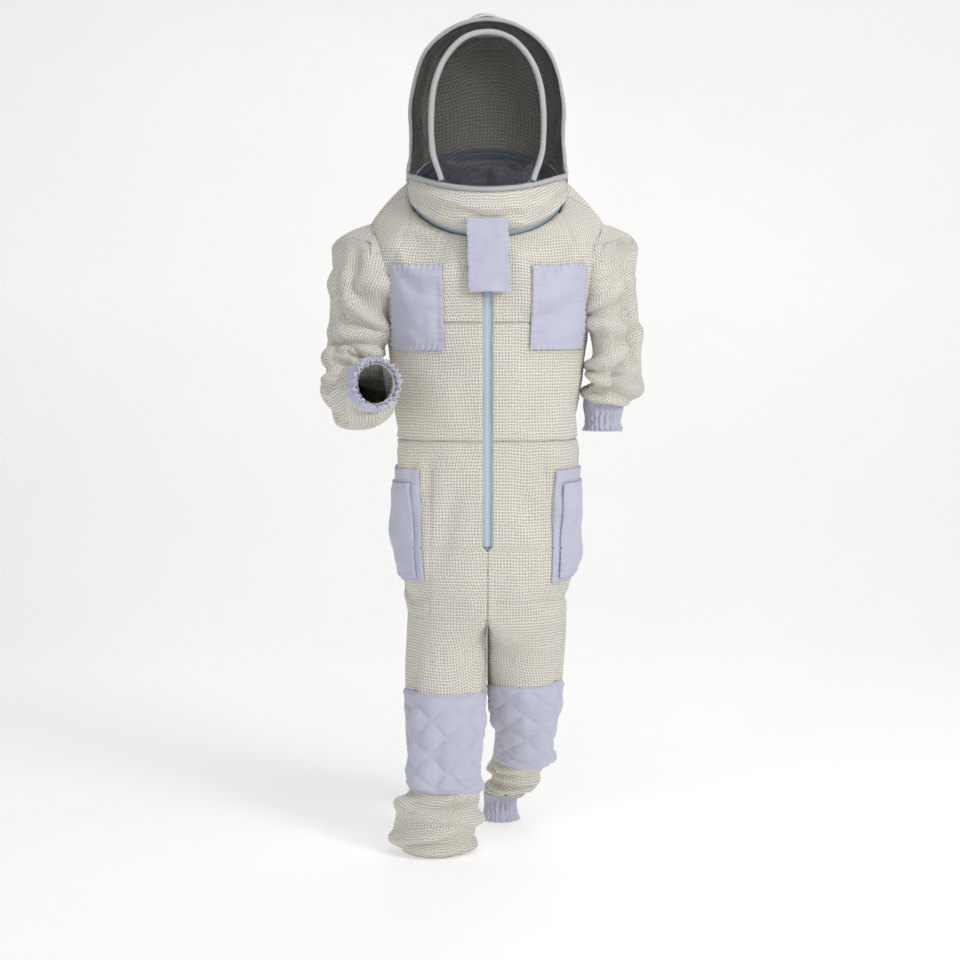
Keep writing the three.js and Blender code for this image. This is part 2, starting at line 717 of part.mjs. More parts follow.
for (const [hand, side] of [["right", -1], ["left", 1]]) {
  const angle = side * hoodSliderAngle;
  const out = ringPoint(angle, 1, 0).sub(ringPoint(angle, 0, 0));
  const tail = V(0, 0, 0).crossVectors(ringUp, out).multiplyScalar(side);
  const across = V(0, 0, 0).crossVectors(out, tail);
  const turn = new THREE.Matrix4()
    .makeBasis(across, out.clone().negate(), tail.clone().negate())
    .setPosition(ringPoint(angle, ringRadius, 0));
  add(`hood_slider_${hand}`, "zip_metal", slider().applyMatrix4(turn));
  add(`hood_pull_${hand}`, "zip_metal", pullTab().applyMatrix4(turn));
}

// ---- Hood: collar band, piping, hoops, nets and back ----
// The base line of the veil, where the piping lies. Angle 0 is the front.
const baseHalf = tapeFace + mesh;
const baseLow = 1319;
const baseHigh = 1362;
const baseFront = -174;
const baseY = -4;
const baseEnd = rad(88);
const basePoint = (angle, above = 0) =>
  V(
    baseHalf * Math.sin(angle),
    baseY + (baseFront - baseY) * Math.cos(angle),
    lerp(baseHigh, baseLow, Math.max(Math.cos(angle), 0) ** 1.5) + above,
  );

class Line extends THREE.Curve {
  constructor(at) {
    super();
    this.at = at;
  }
  getPoint(t) {
    return this.at(t);
  }
}
function rod(at, radius, steps, hole = 0) {
  const section = new THREE.Shape().absarc(0, 0, radius, 0, 2 * Math.PI);
  if (hole) section.holes.push(new THREE.Path().absarc(0, 0, hole, 0, 2 * Math.PI, true));
  const extrudePath = new Line(at);
  return new THREE.ExtrudeGeometry(section, { steps, curveSegments: 4, extrudePath });
}
const pipingPath = (t) => basePoint(lerp(-baseEnd, baseEnd, t));
add("hood_piping", "white_cotton", rod(pipingPath, pipingRadius, 28));

const collarBulge = 12;
const collarEnd = rad(99);
const collarBand = (s, t) => {
  const angle = lerp(-collarEnd, collarEnd, t);
  const low = ringPoint(angle, tapeFace + mesh + ringSlack, ringEdge);
  const reach = THREE.MathUtils.clamp(angle, -baseEnd, baseEnd);
  const high = basePoint(reach, -pipingRadius - seam);
  const bulge = collarBulge * Math.max(Math.cos(angle), 0) * Math.sin(Math.PI * s);
  return low.lerp(high, s).add(V(Math.sin(angle), -Math.cos(angle), 0).multiplyScalar(bulge));
};
const hoodHeart = () => V(0, ringY, 1450);
add("hood_collar", "mesh_fabric", panel(collarBand, mesh, hoodHeart, 4, 24));

// Both hoops run from the wearer's right foot over the top to the left foot.
const archLine = (points) => {
  const line = new THREE.CatmullRomCurve3(points, false, "centripetal");
  return (t) => line.getPoint(THREE.MathUtils.clamp(t, 0, 1));
};
const mirrored = (list, shift) => {
  const left = list.map(([x, y, z]) => V(x + shift, y, z));
  const right = list.slice(0, -1).map(([x, y, z]) => V(shift - x, y, z));
  return [...right, ...left.reverse()];
};
const hoopLift = 2.8; // the foot of a hoop over the piping
const hoopFoot = pipingRadius + hoopLift;
const footAngle = Math.asin(frontHoopFoot / baseHalf);
const frontFoot = basePoint(footAngle, hoopFoot);
const rearFoot = basePoint(Math.PI / 2, hoopFoot);
const frontHoop = archLine(
  mirrored(
    [
      [frontFoot.x, frontFoot.y, frontFoot.z],
      [frontHoopHalf, -134, 1400],
      [frontHoopHalf, -128, frontHoopSpring],
      [frontHoopHalf * 0.82, -120, 1568],
      [frontHoopHalf * 0.45, -111, 1616],
      [0, frontHoopTopY, frontHoopTop],
    ],
    0,
  ),
);
const rearHoop = archLine(
  mirrored(
    [
      [rearFoot.x - 4, rearHoopY, rearFoot.z],
      [rearHoopHalf, rearHoopY, 1440],
      [rearHoopHalf, rearHoopY, rearHoopSpring],
      [rearHoopHalf * 0.82, rearHoopY, 1602],
      [rearHoopHalf * 0.45, rearHoopY, 1652],
      [0, rearHoopY, rearHoopTop],
    ],
    0,
  ),
);
for (const [name, at] of [["front", frontHoop], ["rear", rearHoop]]) {
  add(`hoop_binding_${name}`, "binding", rod(at, hoopRadius, 28, wireHole));
  add(`hoop_wire_${name}`, "hoop_wire", rod(at, wireRadius, 28));
}

// The nets stop short of the bindings and the piping that they are sewn into.
const netEdge = hoopRadius + 1.6;
const between = (a, b, share) => a.clone().lerp(b, share);
const inset = (a, b, from) => between(a, b, from / a.distanceTo(b));
const windowBulge = 10;
const windowTop = 0.45;
function frontNet(s, t) {
  const u = lerp(0.012, windowTop, s);
  const middle = (p) => V(0, p.y, frontHoopSpring - 20);
  const [right, left] = [frontHoop(u), frontHoop(1 - u)].map((p) => inset(p, middle(p), netEdge));
  const low = basePoint(lerp(0.07 - footAngle, footAngle - 0.07, t), hoopFoot);
  const across = between(right, left, t);
  across.y -= windowBulge * Math.sin(Math.PI * t) * Math.sin(Math.PI * Math.min(s * 1.2, 1));
  return low.lerp(across, smooth(s / 0.16));
}
add("veil_front_net", "veil_net", panel(frontNet, net, () => V(0, 0, 1450), 12, 10));

function sideNet(s, t) {
  const [front, rear] = [frontHoop(t), rearHoop(t)];
  const p = between(inset(front, rear, netEdge), inset(rear, front, netEdge - 0.9), s);
  const end = Math.min(t, 1 - t);
  const side = Math.sign(t - 0.5);
  const base = basePoint(side * lerp(footAngle + 0.06, Math.PI / 2 - 0.08, s), hoopFoot);
  return base.lerp(p, smooth(end / 0.1));
}
add("veil_side_net", "veil_net", panel(sideNet, net, () => V(0, -60, 1450), 3, 32));

// The back of the hood, from the rear hoop round to the hood zip.
const crownRise = 26;
const crownFlare = 0.06; // how much the crown widens backwards, as a share of the hoop's width
const hoodDepth = 105;
const nape = { flare: 0.1, depth: 62, rise: 150 }; // the hood's slope over its zip
const backOpening = collarEnd + 0.04;
function hoodBack(s, t) {
  const edge = rearHoop(t);
  const w = Math.sin(Math.PI * THREE.MathUtils.clamp(t, 0, 1)) ** 0.6;
  const start = edge.clone().add(V(0, netEdge + 0.8, 0));
  const angle = lerp(-backOpening, -2 * Math.PI + backOpening, t);
  const end = ringPoint(angle, tapeFace + mesh + ringSlack, ringEdge);
  const c1 = start.clone().add(V(edge.x * crownFlare, hoodDepth * w, crownRise * w));
  const c2 = end.clone().add(V(edge.x * nape.flare, nape.depth * w, nape.rise * w));
  return bezier(start, c1, c2, end, s);
}
add("hood_back", "mesh_fabric", panel(hoodBack, mesh, () => V(0, 0, 1450), 8, 22));

// ---- Throat flap: hangs from the collar band over the ends of the zips ----
const flapHalf = 41;
const flapTop = 1264;
const flapBottom = 1122;
const flapTopY = -181;
const flapBottomY = -173;
const flapCurve = 3; // how far its sides lie behind its middle
function flapSheet(s, t) {
  const x = lerp(-flapHalf, flapHalf, t);
  const y = lerp(flapTopY, flapBottomY, s) + flapCurve * (x / flapHalf) ** 2;
  return V(x, y, lerp(flapTop, flapBottom, s));
}
add("throat_flap", "white_cotton", panel(flapSheet, 2 * cotton, torsoHeart, 4, 6));

// ---- Inner neck collar ----
const neckSeam = ringRadius - tapeThickness / 2 - 2 * ringSlack;
const neckRings = [
  { y: ringY, z: ringZ, slope: ringSlope, r: neckSeam, h: -11 },
  { y: -22, z: 1324, slope: rad(24), r: 104, h: 0 },
  { y: -14, z: 1340, slope: rad(15), r: 90, h: 0 },
  { y: -10, z: 1366, slope: rad(9), r: 87, h: 0 },
];
const neckAt = stations(
  neckRings.map(({ y, z, slope, r, h }, k) => [k / (neckRings.length - 1), y, z, slope, r, h]),
);
function neckPoint(angle, s) {
  const [y, z, slope, r, h] = neckAt(s);
  const level = V(r * Math.sin(angle), -r * Math.cos(angle), h);
  return level.applyAxisAngle(X, slope).add(V(0, y, z));
}
const neckSheet = (s, t) => neckPoint(2 * Math.PI * t, s);
const neckShell = shell(
  neckSheet, offset(neckSheet, -cotton, () => V(0, -20, 1340)), 4, 22, true,
);
add("inner_collar", "white_cotton", neckShell);

// The origin goes under the middle of the whole outline.
const outline = new THREE.Box3().setFromObject(suit);
const middle = outline.getCenter(V(0, 0, 0));
suit.position.set(-middle.x, -middle.y, -outline.min.z);
export default suit;
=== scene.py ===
"""A ventilated beekeeping suit with a zip-on veil hood: the looks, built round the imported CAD."""

import math

import bpy
import numpy as np
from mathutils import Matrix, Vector


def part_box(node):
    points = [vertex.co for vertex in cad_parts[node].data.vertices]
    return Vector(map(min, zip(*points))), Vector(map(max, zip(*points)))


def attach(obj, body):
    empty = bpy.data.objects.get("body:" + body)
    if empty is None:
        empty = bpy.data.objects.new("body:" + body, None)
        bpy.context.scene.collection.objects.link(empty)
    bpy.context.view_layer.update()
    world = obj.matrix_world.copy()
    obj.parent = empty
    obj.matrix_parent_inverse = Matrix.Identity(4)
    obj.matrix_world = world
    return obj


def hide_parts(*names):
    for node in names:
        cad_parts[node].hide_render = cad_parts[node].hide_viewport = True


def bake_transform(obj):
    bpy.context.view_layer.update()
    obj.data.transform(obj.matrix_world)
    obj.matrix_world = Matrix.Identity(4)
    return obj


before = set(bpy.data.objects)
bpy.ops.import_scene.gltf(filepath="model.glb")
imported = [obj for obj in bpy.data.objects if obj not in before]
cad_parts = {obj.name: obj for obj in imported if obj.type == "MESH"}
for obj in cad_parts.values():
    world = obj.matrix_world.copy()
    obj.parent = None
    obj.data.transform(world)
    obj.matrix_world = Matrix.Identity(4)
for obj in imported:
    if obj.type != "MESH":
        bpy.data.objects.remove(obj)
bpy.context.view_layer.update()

# ---- Driving dimensions, in metres ----
# The suit's own zero is on the middle of its front zip, 0.158 m behind the fabric's front.
FRONT = -0.158
ORIGIN = np.array(
    [
        sum(corner.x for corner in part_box("front_zip_bottom_stop")) / 2,
        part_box("trouser_front_left")[0].y - FRONT,
        0.0,
    ]
)
MESH = 0.004  # the mesh fabric's thickness
COTTON = 0.0022  # the white drill's
NET_THICK = 0.0008
TAPE_THICK = 0.0011
ELASTIC_THICK = 0.0008
BINDING_THICK = 0.0009
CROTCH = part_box("trouser_back")[0].z
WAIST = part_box("body_back")[0].z
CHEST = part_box("yoke_back")[0].z
MIDDLE = -0.010  # y of the widest part of the trunk
PLACKET = 0.009  # half of the gap between the two front edges
ZIP_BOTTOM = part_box("front_zip_tape_left")[0].z
WAFFLE = 0.0062  # pitch of the mesh fabric's cells

# The ring zip that joins hood and suit, lower in front.
RING_RADIUS = 0.151
RING_SLOPE = math.radians(35)
RING_CENTRE = np.array([0, -0.028, 1.324])
RING_EDGE = 0.007  # how far the fabric stops from the zip's middle

SHOULDER = np.array([0.229, 0, 1.195])
SHOULDER_TILT = math.radians(9)
ARMHOLE = 0.100  # radius of the round armhole


# ---- Curves and surfaces, as arrays of points ----
def stations(rows):
    """A smooth curve through given stations: each is a position and the values there."""
    table = np.array(rows, float)
    at, values = table[:, 0], table[:, 1:]
    slope = np.gradient(values, axis=0) / np.gradient(at)[:, None]

    def value(where):
        where = np.clip(np.asarray(where, float), at[0], at[-1])
        k = np.clip(np.searchsorted(at, where, side="right") - 1, 0, len(at) - 2)
        span = (at[k + 1] - at[k])[..., None]
        t = (where - at[k])[..., None] / span
        a, b = values[k], values[k + 1]
        start = (2 * t**3 - 3 * t**2 + 1) * a + (t**3 - 2 * t**2 + t) * span * slope[k]
        end = (3 * t**2 - 2 * t**3) * b + (t**3 - t**2) * span * slope[k + 1]
        return start + end

    return value


def smooth(x):
    x = np.clip(x, 0, 1)
    return x * x * (3 - 2 * x)


def bump(x, centre, width):
    """A round hill of height 1."""
    return np.exp(-(((x - centre) / width) ** 2))


def squareness(angle, power=2.5):
    """How far a rounded square of half width 1 reaches at each angle."""
    return (np.abs(np.cos(angle)) ** power + np.abs(np.sin(angle)) ** power) ** (-1 / power)


def points(x, y, z):
    return np.stack(np.broadcast_arrays(x, y, z), axis=-1).astype(float)


def bezier(a, b, c, d, t):
    t = t[..., None]
    return (1 - t) ** 3 * a + 3 * t * (1 - t) ** 2 * b + 3 * t**2 * (1 - t) * c + t**3 * d


def normals(grid, closed=False):
    """The unit normal at each point of a grid, from its neighbours. closed: its columns go round."""
    if closed:
        across = np.roll(grid, -1, axis=1) - np.roll(grid, 1, axis=1)
    else:
        across = np.gradient(grid, axis=1)
    n = np.cross(np.gradient(grid, axis=0), across)
    return n / np.maximum(np.linalg.norm(n, axis=-1, keepdims=True), 1e-9)


def outward(grid, heart, closed=False):
    n = normals(grid, closed)
    return n if ((grid - heart) * n).sum() > 0 else -n


def soften(grid, times, closed=False):
    """Takes the small folds out of a grid and keeps its edges."""
    g = grid.copy()
    for _ in range(times):
        g[1:-1] = (g[:-2] + 2 * g[1:-1] + g[2:]) / 4
        if closed:
            g = (np.roll(g, 1, axis=1) + 2 * g + np.roll(g, -1, axis=1)) / 4
        else:
            g[:, 1:-1] = (g[:, :-2] + 2 * g[:, 1:-1] + g[:, 2:]) / 4
    return g


def sample(grid, rows, columns, closed=False):
    """The grid at any places, by a smooth curve through its points. Places count its own steps."""
    rows, columns = np.broadcast_arrays(np.asarray(rows, float), np.asarray(columns, float))
    i = np.clip(np.floor(rows).astype(int), 0, grid.shape[0] - 2)
    j = np.floor(columns).astype(int)
    if not closed:
        j = np.clip(j, 0, grid.shape[1] - 2)

    def shares(t):
        return [
            0.5 * (-t + 2 * t**2 - t**3),
            0.5 * (2 - 5 * t**2 + 3 * t**3),
            0.5 * (t + 4 * t**2 - 3 * t**3),
            0.5 * (t**3 - t**2),
        ]

    down, across = shares(rows - i), shares(columns - j)
    total = 0
    for a in range(4):
        row = np.clip(i + a - 1, 0, grid.shape[0] - 1)
        for b in range(4):
            column = j + b - 1
            column = column % grid.shape[1] if closed else np.clip(column, 0, grid.shape[1] - 1)
            total = total + (down[a] * across[b])[..., None] * grid[row, column]
    return total


def resample(grid, rows, columns, closed=False):
    return sample(grid, np.asarray(rows)[:, None], np.asarray(columns)[None, :], closed)


def noise(shape, size, seed, closed=False):
    """Soft random values from -1 to 1 over a grid, with hills of that many steps."""
    r = np.random.default_rng(seed)
    small = [max(int(n / s) + 3, 4) for n, s in zip(shape, size)]
    field = r.uniform(-1, 1, small)
    rows = np.linspace(0, small[0] - 1, shape[0])
    last = small[1] if closed else small[1] - 1
    columns = np.linspace(0, last, shape[1], endpoint=not closed)
    return resample(field[..., None], rows, columns, closed)[..., 0]


# ---- The torso and yoke ----
# z, half width, front and back
torso_profile = stations(
    [
        [CROTCH, 0.163, -0.150, 0.118],
        [0.545, 0.172, FRONT, 0.128],
        [0.640, 0.183, FRONT, 0.134],
        [0.740, 0.187, FRONT, 0.127],
        [WAIST, 0.183, FRONT, 0.114],
        [0.900, 0.185, FRONT, 0.120],
        [0.980, 0.194, FRONT, 0.130],
        [CHEST, 0.208, FRONT, 0.134],
    ]
)


def torso_point(angle, z):
    """A point of the trunk. Angle 0 is the front's middle and a quarter turn the wearer's left."""
    half, front, back = np.moveaxis(torso_profile(z), -1, 0)
    r = squareness(angle)
    depth = np.where(np.cos(angle) > 0, MIDDLE - front, back - MIDDLE)
    return points(half * r * np.sin(angle), MIDDLE - depth * r * np.cos(angle), z)


def ring_point(angle, radius, height):
    """A point round the ring zip's sloping axis. height is along that axis."""
    c, s = math.cos(RING_SLOPE), math.sin(RING_SLOPE)
    forward = radius * np.cos(angle)
    x = radius * np.sin(angle)
    y = RING_CENTRE[1] - forward * c - height * s
    return points(x, y, RING_CENTRE[2] - forward * s + height * c)


def body_loop(angle, half, front, middle, back, front_z, side_z, back_z):
    """A loop round the body whose height differs between front, sides and back."""
    r, c = squareness(angle), np.cos(angle)
    depth = np.where(c > 0, middle - front, back - middle)
    rise = np.where(c > 0, front_z, back_z) - side_z
    return points(half * r * np.sin(angle), middle - depth * r * c, side_z + rise * c**2)


def yoke_point(angle, s):
    """A point of the yoke, from the chest seam at 0 to the ring zip at 1."""
    out = np.where(np.cos(angle) > 0, 0.0055, 0.0045)
    edge = ring_point(angle, RING_RADIUS + 0.002 + out * np.cos(angle) ** 2, -RING_EDGE)
    low = torso_point(angle, CHEST + 0 * angle)
    chest = body_loop(angle, 0.230, FRONT, -0.010, 0.152, 1.120, 1.215, 1.240)
    top = body_loop(angle, 0.290, FRONT - 0.001, -0.020, 0.133, 1.178, 1.332, 1.365)
    return bezier(low, chest, top, edge, s)


def front_angle(x, half, power=2.5):
    """The angle of the front's point at that distance from the middle."""
    share = x / half
    return math.atan2(share, (1 - share**power) ** (1 / power))


# ---- Limbs ----
def limb(rows):
    """A tube round a centre line. Rows: x, y, z, half size across, half size along."""
    table = np.array(rows, float)
    at = np.linspace(0, 1, len(table))
    line = stations(np.column_stack([at, table[:, :3]]))
    size = stations(np.column_stack([at, table[:, 3:]]))
    fine = np.linspace(0, 1, 201)
    tangent = np.gradient(line(fine), axis=0)
    tangent /= np.linalg.norm(tangent, axis=1, keepdims=True)
    along = np.zeros_like(tangent)
    now = np.array([0.0, 1, 0])
    for k, t in enumerate(tangent):
        now = now - now.dot(t) * t
        now /= np.linalg.norm(now)
        along[k] = now
    across = np.cross(tangent, along)

    def surface(angle, s):
        a, d = (
            np.stack([np.interp(s, fine, v[:, k]) for k in range(3)], axis=-1)
            for v in (across, along)
        )
        r = size(s)
        return line(s) + a * (r[..., :1] * np.sin(angle)[..., None]) - d * (
            r[..., 1:] * np.cos(angle)[..., None]
        )

    return surface


def level_tube(rows):
    """A tube of level rings. Rows: x, y, z, half size across, half size fore and aft."""
    table = np.array(rows, float)
    ring = stations(np.column_stack([np.linspace(0, 1, len(table)), table]))

    def surface(angle, s):
        x, y, z, a, b = np.moveaxis(ring(s), -1, 0)
        return points(x + a * np.sin(angle), y - b * np.cos(angle), z)

    return surface


def shoulder_axis(side):
    """An armhole's middle and the way out through it."""
    out = np.array([side * math.cos(SHOULDER_TILT), 0, -math.sin(SHOULDER_TILT)])
    return SHOULDER * [side, 1, 1], out


def head_of_sleeve(side):
    centre, out = shoulder_axis(side)
    return [[*(centre + out * d), ARMHOLE - less, ARMHOLE - less] for d, less in HEAD]


HEAD = [(-0.030, 0.0005), (-0.010, 0.002), (0.002, 0.004)]  # how far out, how much less than the hole
SLEEVES = {
    "right": head_of_sleeve(-1)
    + [
        [-0.238, -0.006, 1.180, 0.078, 0.097],
        [-0.244, -0.012, 1.150, 0.067, 0.099],
        [-0.262, -0.012, 1.106, 0.060, 0.095],
        [-0.274, -0.008, 1.056, 0.060, 0.085],
        [-0.286, -0.012, 1.000, 0.059, 0.076],
        [-0.282, -0.048, 0.950, 0.058, 0.068],
        [-0.272, -0.095, 0.936, 0.058, 0.066],
        [-0.258, -0.140, 0.934, 0.058, 0.064],
        [-0.235, -0.222, 0.938, 0.057, 0.060],
        [-0.228, -0.280, 0.942, 0.055, 0.057],
        [-0.220, -0.306, 0.944, 0.050, 0.051],
        [-0.206, -0.340, 0.947, 0.044, 0.046],
    ],
    "left": head_of_sleeve(1)
    + [
        [0.237, -0.006, 1.180, 0.076, 0.097],
        [0.242, -0.012, 1.150, 0.064, 0.098],
        [0.256, -0.010, 1.106, 0.054, 0.090],
        [0.260, -0.006, 1.056, 0.050, 0.080],
        [0.266, -0.002, 1.000, 0.052, 0.070],
        [0.263, 0.001, 0.960, 0.054, 0.063],
        [0.246, 0.002, 0.925, 0.044, 0.050],
        [0.240, 0.002, 0.906, 0.041, 0.042],
        [0.238, 0.001, 0.872, 0.039, 0.040],
        [0.238, 0.001, 0.840, 0.036, 0.037],
    ],
}
CUFF_FROM = {"right": 13 / 14, "left": 10 / 12}  # share of the sleeve's stations where its cuff begins
ANKLES = {"right": (-0.094, -0.133, 0.038), "left": (0.030, 0.121, 0.036)}  # x, y and radius
ANKLE_TOP = 0.058
LEG_MID = 0.086  # x of a leg's middle at the crotch
LEGS = {
    "right": level_tube(
        [
            [-LEG_MID, -0.014, CROTCH, 0.083, 0.128],
            [-0.082, -0.026, 0.405, 0.085, 0.104],
            [-0.086, -0.046, 0.323, 0.086, 0.092],
            [-0.090, -0.078, 0.235, 0.086, 0.088],
            [-0.086, -0.104, 0.165, 0.082, 0.084],
            [-0.082, -0.120, 0.122, 0.076, 0.080],
            [-0.106, -0.128, 0.084, 0.085, 0.085],
            [-0.110, -0.131, 0.044, 0.086, 0.080],
            [-0.104, -0.133, 0.015, 0.070, 0.066],
            [-0.094, -0.133, 0.0055, 0.063, 0.058],
            [-0.094, -0.133, 0.018, 0.047, 0.047],
            [-0.094, -0.133, 0.052, 0.039, 0.039],
        ]
    ),
    "left": level_tube(
        [
            [LEG_MID, -0.014, CROTCH, 0.078, 0.128],
            [0.081, -0.006, 0.405, 0.084, 0.104],
            [0.080, 0.014, 0.323, 0.083, 0.090],
            [0.079, 0.042, 0.250, 0.072, 0.082],
            [0.075, 0.072, 0.180, 0.066, 0.072],
            [0.066, 0.098, 0.124, 0.058, 0.062],
            [0.050, 0.113, 0.088, 0.046, 0.050],
            [0.031, 0.1205, 0.060, 0.038, 0.038],
        ]
    ),
}
LEG_BLEND = {"right": 1 / 11, "left": 1 / 7}  # share of the leg that turns from trunk to tube
GUSSET = 0.008  # half of the gusset's width


def leg_top(side, angle):
    """Half of the torso's outline, stopped at the gusset, round the leg's own middle."""
    half, front, back = torso_profile(CROTCH)
    direction = points(np.sin(angle), -np.cos(angle), 0)
    centre = np.array([side * LEG_MID, -0.014, CROTCH])
    low, high = np.zeros(angle.shape), np.full(angle.shape, 0.3)
    for _ in range(24):
        mid = (low + high) / 2
        p = centre + direction * mid[..., None]
        depth = np.where(p[..., 1] < MIDDLE, MIDDLE - front, back - MIDDLE)
        reach = np.abs(p[..., 0] / half) ** 2.5 + np.abs((p[..., 1] - MIDDLE) / depth) ** 2.5
        inside = (side * p[..., 0] > GUSSET) & (reach < 1)
        low, high = np.where(inside, mid, low), np.where(inside, high, mid)
    return centre + direction * low[..., None]


def leg_point(hand, angle, s):
    """A leg's surface: it starts on the trunk's outline and soon follows its own rings."""
    tube = LEGS[hand](angle, s)
    top = leg_top(-1 if hand == "right" else 1, angle)
    top[..., 2] = tube[..., 2]
    w = smooth(s / LEG_BLEND[hand])[..., None]
    return top * (1 - w) + tube * w


# ---- Making Blender meshes ----
SHOULDER_DROP = 0.035  # how far the outer shoulder sinks below the round armhole


def slope(co):
    """The shoulders' fall from the neck outwards, the same for every piece that lies there."""
    co = np.array(co, float)
    out = smooth((np.abs(co[:, 0]) - 0.125) / 0.13)
    co[:, 2] -= SHOULDER_DROP * out * smooth((co[:, 2] - 1.19) / 0.10)
    return co


def make(name, co, faces, uv=None, material=None, smooth_shade=True, settled=True):
    """A mesh object from points in the suit's own zero. uv: one pair in metres for each point."""
    mesh = bpy.data.meshes.new(name)
    if settled:
        co = slope(co)
    mesh.from_pydata((np.asarray(co) + ORIGIN).tolist(), [], faces)
    if uv is not None:
        layer = mesh.uv_layers.new(name="grain")
        index = np.zeros(len(mesh.loops), int)
        mesh.loops.foreach_get("vertex_index", index)
        layer.data.foreach_set("uv", np.asarray(uv)[index].ravel())
    mesh.polygons.foreach_set("use_smooth", [smooth_shade] * len(mesh.polygons))
    mesh.update()
    obj = bpy.data.objects.new(name, mesh)
    bpy.context.scene.collection.objects.link(obj)
    if material:
        mesh.materials.append(material)
    return obj


def grid_faces(rows, columns, closed=False, keep=None):
    """The quads of a grid of points. keep: which points a quad may use."""
    wide = columns if closed else columns - 1
    i, j = np.meshgrid(np.arange(rows - 1), np.arange(wide), indexing="ij")
    k = (j + 1) % columns
    low, high = i * columns, (i + 1) * columns
    faces = np.stack([low + j, low + k, high + k, high + j], axis=-1).reshape(-1, 4)
    if keep is not None:
        faces = faces[keep.ravel()[faces].all(axis=1)]
    return faces


def grain(grid):
    """Each point's place on the cloth: the distance along its row and along its column."""
    across = np.linalg.norm(np.diff(grid, axis=1), axis=-1)
    down = np.linalg.norm(np.diff(grid, axis=0), axis=-1)
    u = np.pad(np.cumsum(across, axis=1), ((0, 0), (1, 0)))
    v = np.pad(np.cumsum(down, axis=0), ((1, 0), (0, 0)))
    return np.stack([u, v], axis=-1)


def with_thickness(co, inward, faces, uv):
    """Adds the inner face and the edges to a sheet. inward: each point's way through the cloth."""
    count = len(co)
    edges = np.concatenate([faces[:, [k, (k + 1) % 4]] for k in range(4)])
    key = np.sort(edges, axis=1) @ [count, 1]
    _, first, uses = np.unique(key, return_index=True, return_counts=True)
    rim = edges[first[uses == 1]]
    sides = np.stack([rim[:, 1], rim[:, 0], rim[:, 0] + count, rim[:, 1] + count], axis=1)
    faces = np.concatenate([faces, faces[:, ::-1] + count, sides])
    return np.concatenate([co, co + inward]), faces, np.concatenate([uv, uv])


def cloth(name, grid, thickness, material, body, nodes=(), uv=None, keep=None, heart=None):
    """A piece of fabric from the grid of its outer face. heart: a point on its inner side."""
    rows, columns = grid.shape[:2]
    uv = grain(grid) if uv is None else uv
    heart = grid.reshape(-1, 3).mean(0) if heart is None else np.asarray(heart)
    faces = grid_faces(rows, columns, keep=keep)
    n = normals(grid)
    if ((grid - heart) * n).sum() < 0:
        n = -n
    wound = np.cross(grid[0, 1] - grid[0, 0], grid[1, 0] - grid[0, 0]) @ n[0, 0]
    if wound < 0:
        faces = faces[:, ::-1]
    co, n, uv = grid.reshape(-1, 3), n.reshape(-1, 3), uv.reshape(-1, 2)
    used = np.unique(faces)
    index = np.full(len(co), -1)
    index[used] = np.arange(len(used))
    co, n, uv, faces = co[used], n[used], uv[used], index[faces]
    if thickness:
        co, faces, uv = with_thickness(co, -n * thickness, faces, uv)
    obj = make(name, co, faces.tolist(), uv, material)
    if isinstance(body, str):
        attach(obj, body)
    else:
        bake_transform(obj)
    if nodes:
        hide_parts(*([nodes] if isinstance(nodes, str) else nodes))
    return obj


def remove(obj):
    data = obj.data
    bpy.data.objects.remove(obj)
    bpy.data.meshes.remove(data)


# ---- Torso and yoke as one sheet: rows go up, columns go from the zip's left edge round the back ----
BODY_ROWS, YOKE_ROWS, TORSO_COLUMNS = 64, 34, 121


def zip_angle(z, half):
    """Where the fabric's front edge is: beside the zip, and closed under it."""
    x = PLACKET * smooth((z - ZIP_BOTTOM + 0.004) / 0.006)
    return np.array([front_angle(max(a, 1e-5), b) for a, b in zip(x, half)])


def torso_rows():
    """Heights of the body's rows, shares of the yoke's rows, and the yoke's half width at each."""
    z = np.linspace(CROTCH, CHEST, BODY_ROWS + 1)
    s = np.linspace(0, 1, YOKE_ROWS + 1)[1:]
    side = np.full(len(s), math.pi / 2)
    return z, s, yoke_point(side, s)[:, 0]


def torso_base():
    z, s, yoke_half = torso_rows()
    t = np.linspace(0, 1, TORSO_COLUMNS)
    edge = zip_angle(z, torso_profile(z)[:, 0])
    angle = edge[:, None] + (2 * math.pi - 2 * edge[:, None]) * t
    low = torso_point(angle, z[:, None] + 0 * angle)
    edge = np.array([front_angle(PLACKET, h) for h in yoke_half])
    angle = edge[:, None] + (2 * math.pi - 2 * edge[:, None]) * t
    return np.concatenate([low, yoke_point(angle, s[:, None] + 0 * angle)])


def torso_place(x, z):
    """Row and column of the front's point at that distance from the middle and that height."""
    rows, columns = np.zeros(x.shape), np.zeros(x.shape)
    for k in np.ndindex(x.shape):
        a, h = abs(x[k]), z[k]
        if h <= CHEST:
            half = float(torso_profile(np.array(h))[0])
            row = (h - CROTCH) / (CHEST - CROTCH) * BODY_ROWS
        else:
            low, high = 0.0, 1.0
            for _ in range(18):
                mid = (low + high) / 2
                half = float(yoke_point(np.array(math.pi / 2), np.array(mid))[0])
                at = yoke_point(np.array(front_angle(a, half)), np.array(mid))
                low, high = (mid, high) if at[2] < h else (low, mid)
            row = BODY_ROWS + low * YOKE_ROWS
        edge = front_angle(PLACKET, half) if h > ZIP_BOTTOM else 0
        t = (front_angle(max(a, 1e-5), half) - edge) / (2 * math.pi - 2 * edge)
        rows[k] = row
        columns[k] = (t if x[k] > 0 else 1 - t) * (TORSO_COLUMNS - 1)
    return rows, columns


def from_shoulder(p, side):
    """Distance from the armhole's axis."""
    centre, out = shoulder_axis(side)
    rel = p - centre
    return np.linalg.norm(rel - (rel @ out)[..., None] * out, axis=-1)


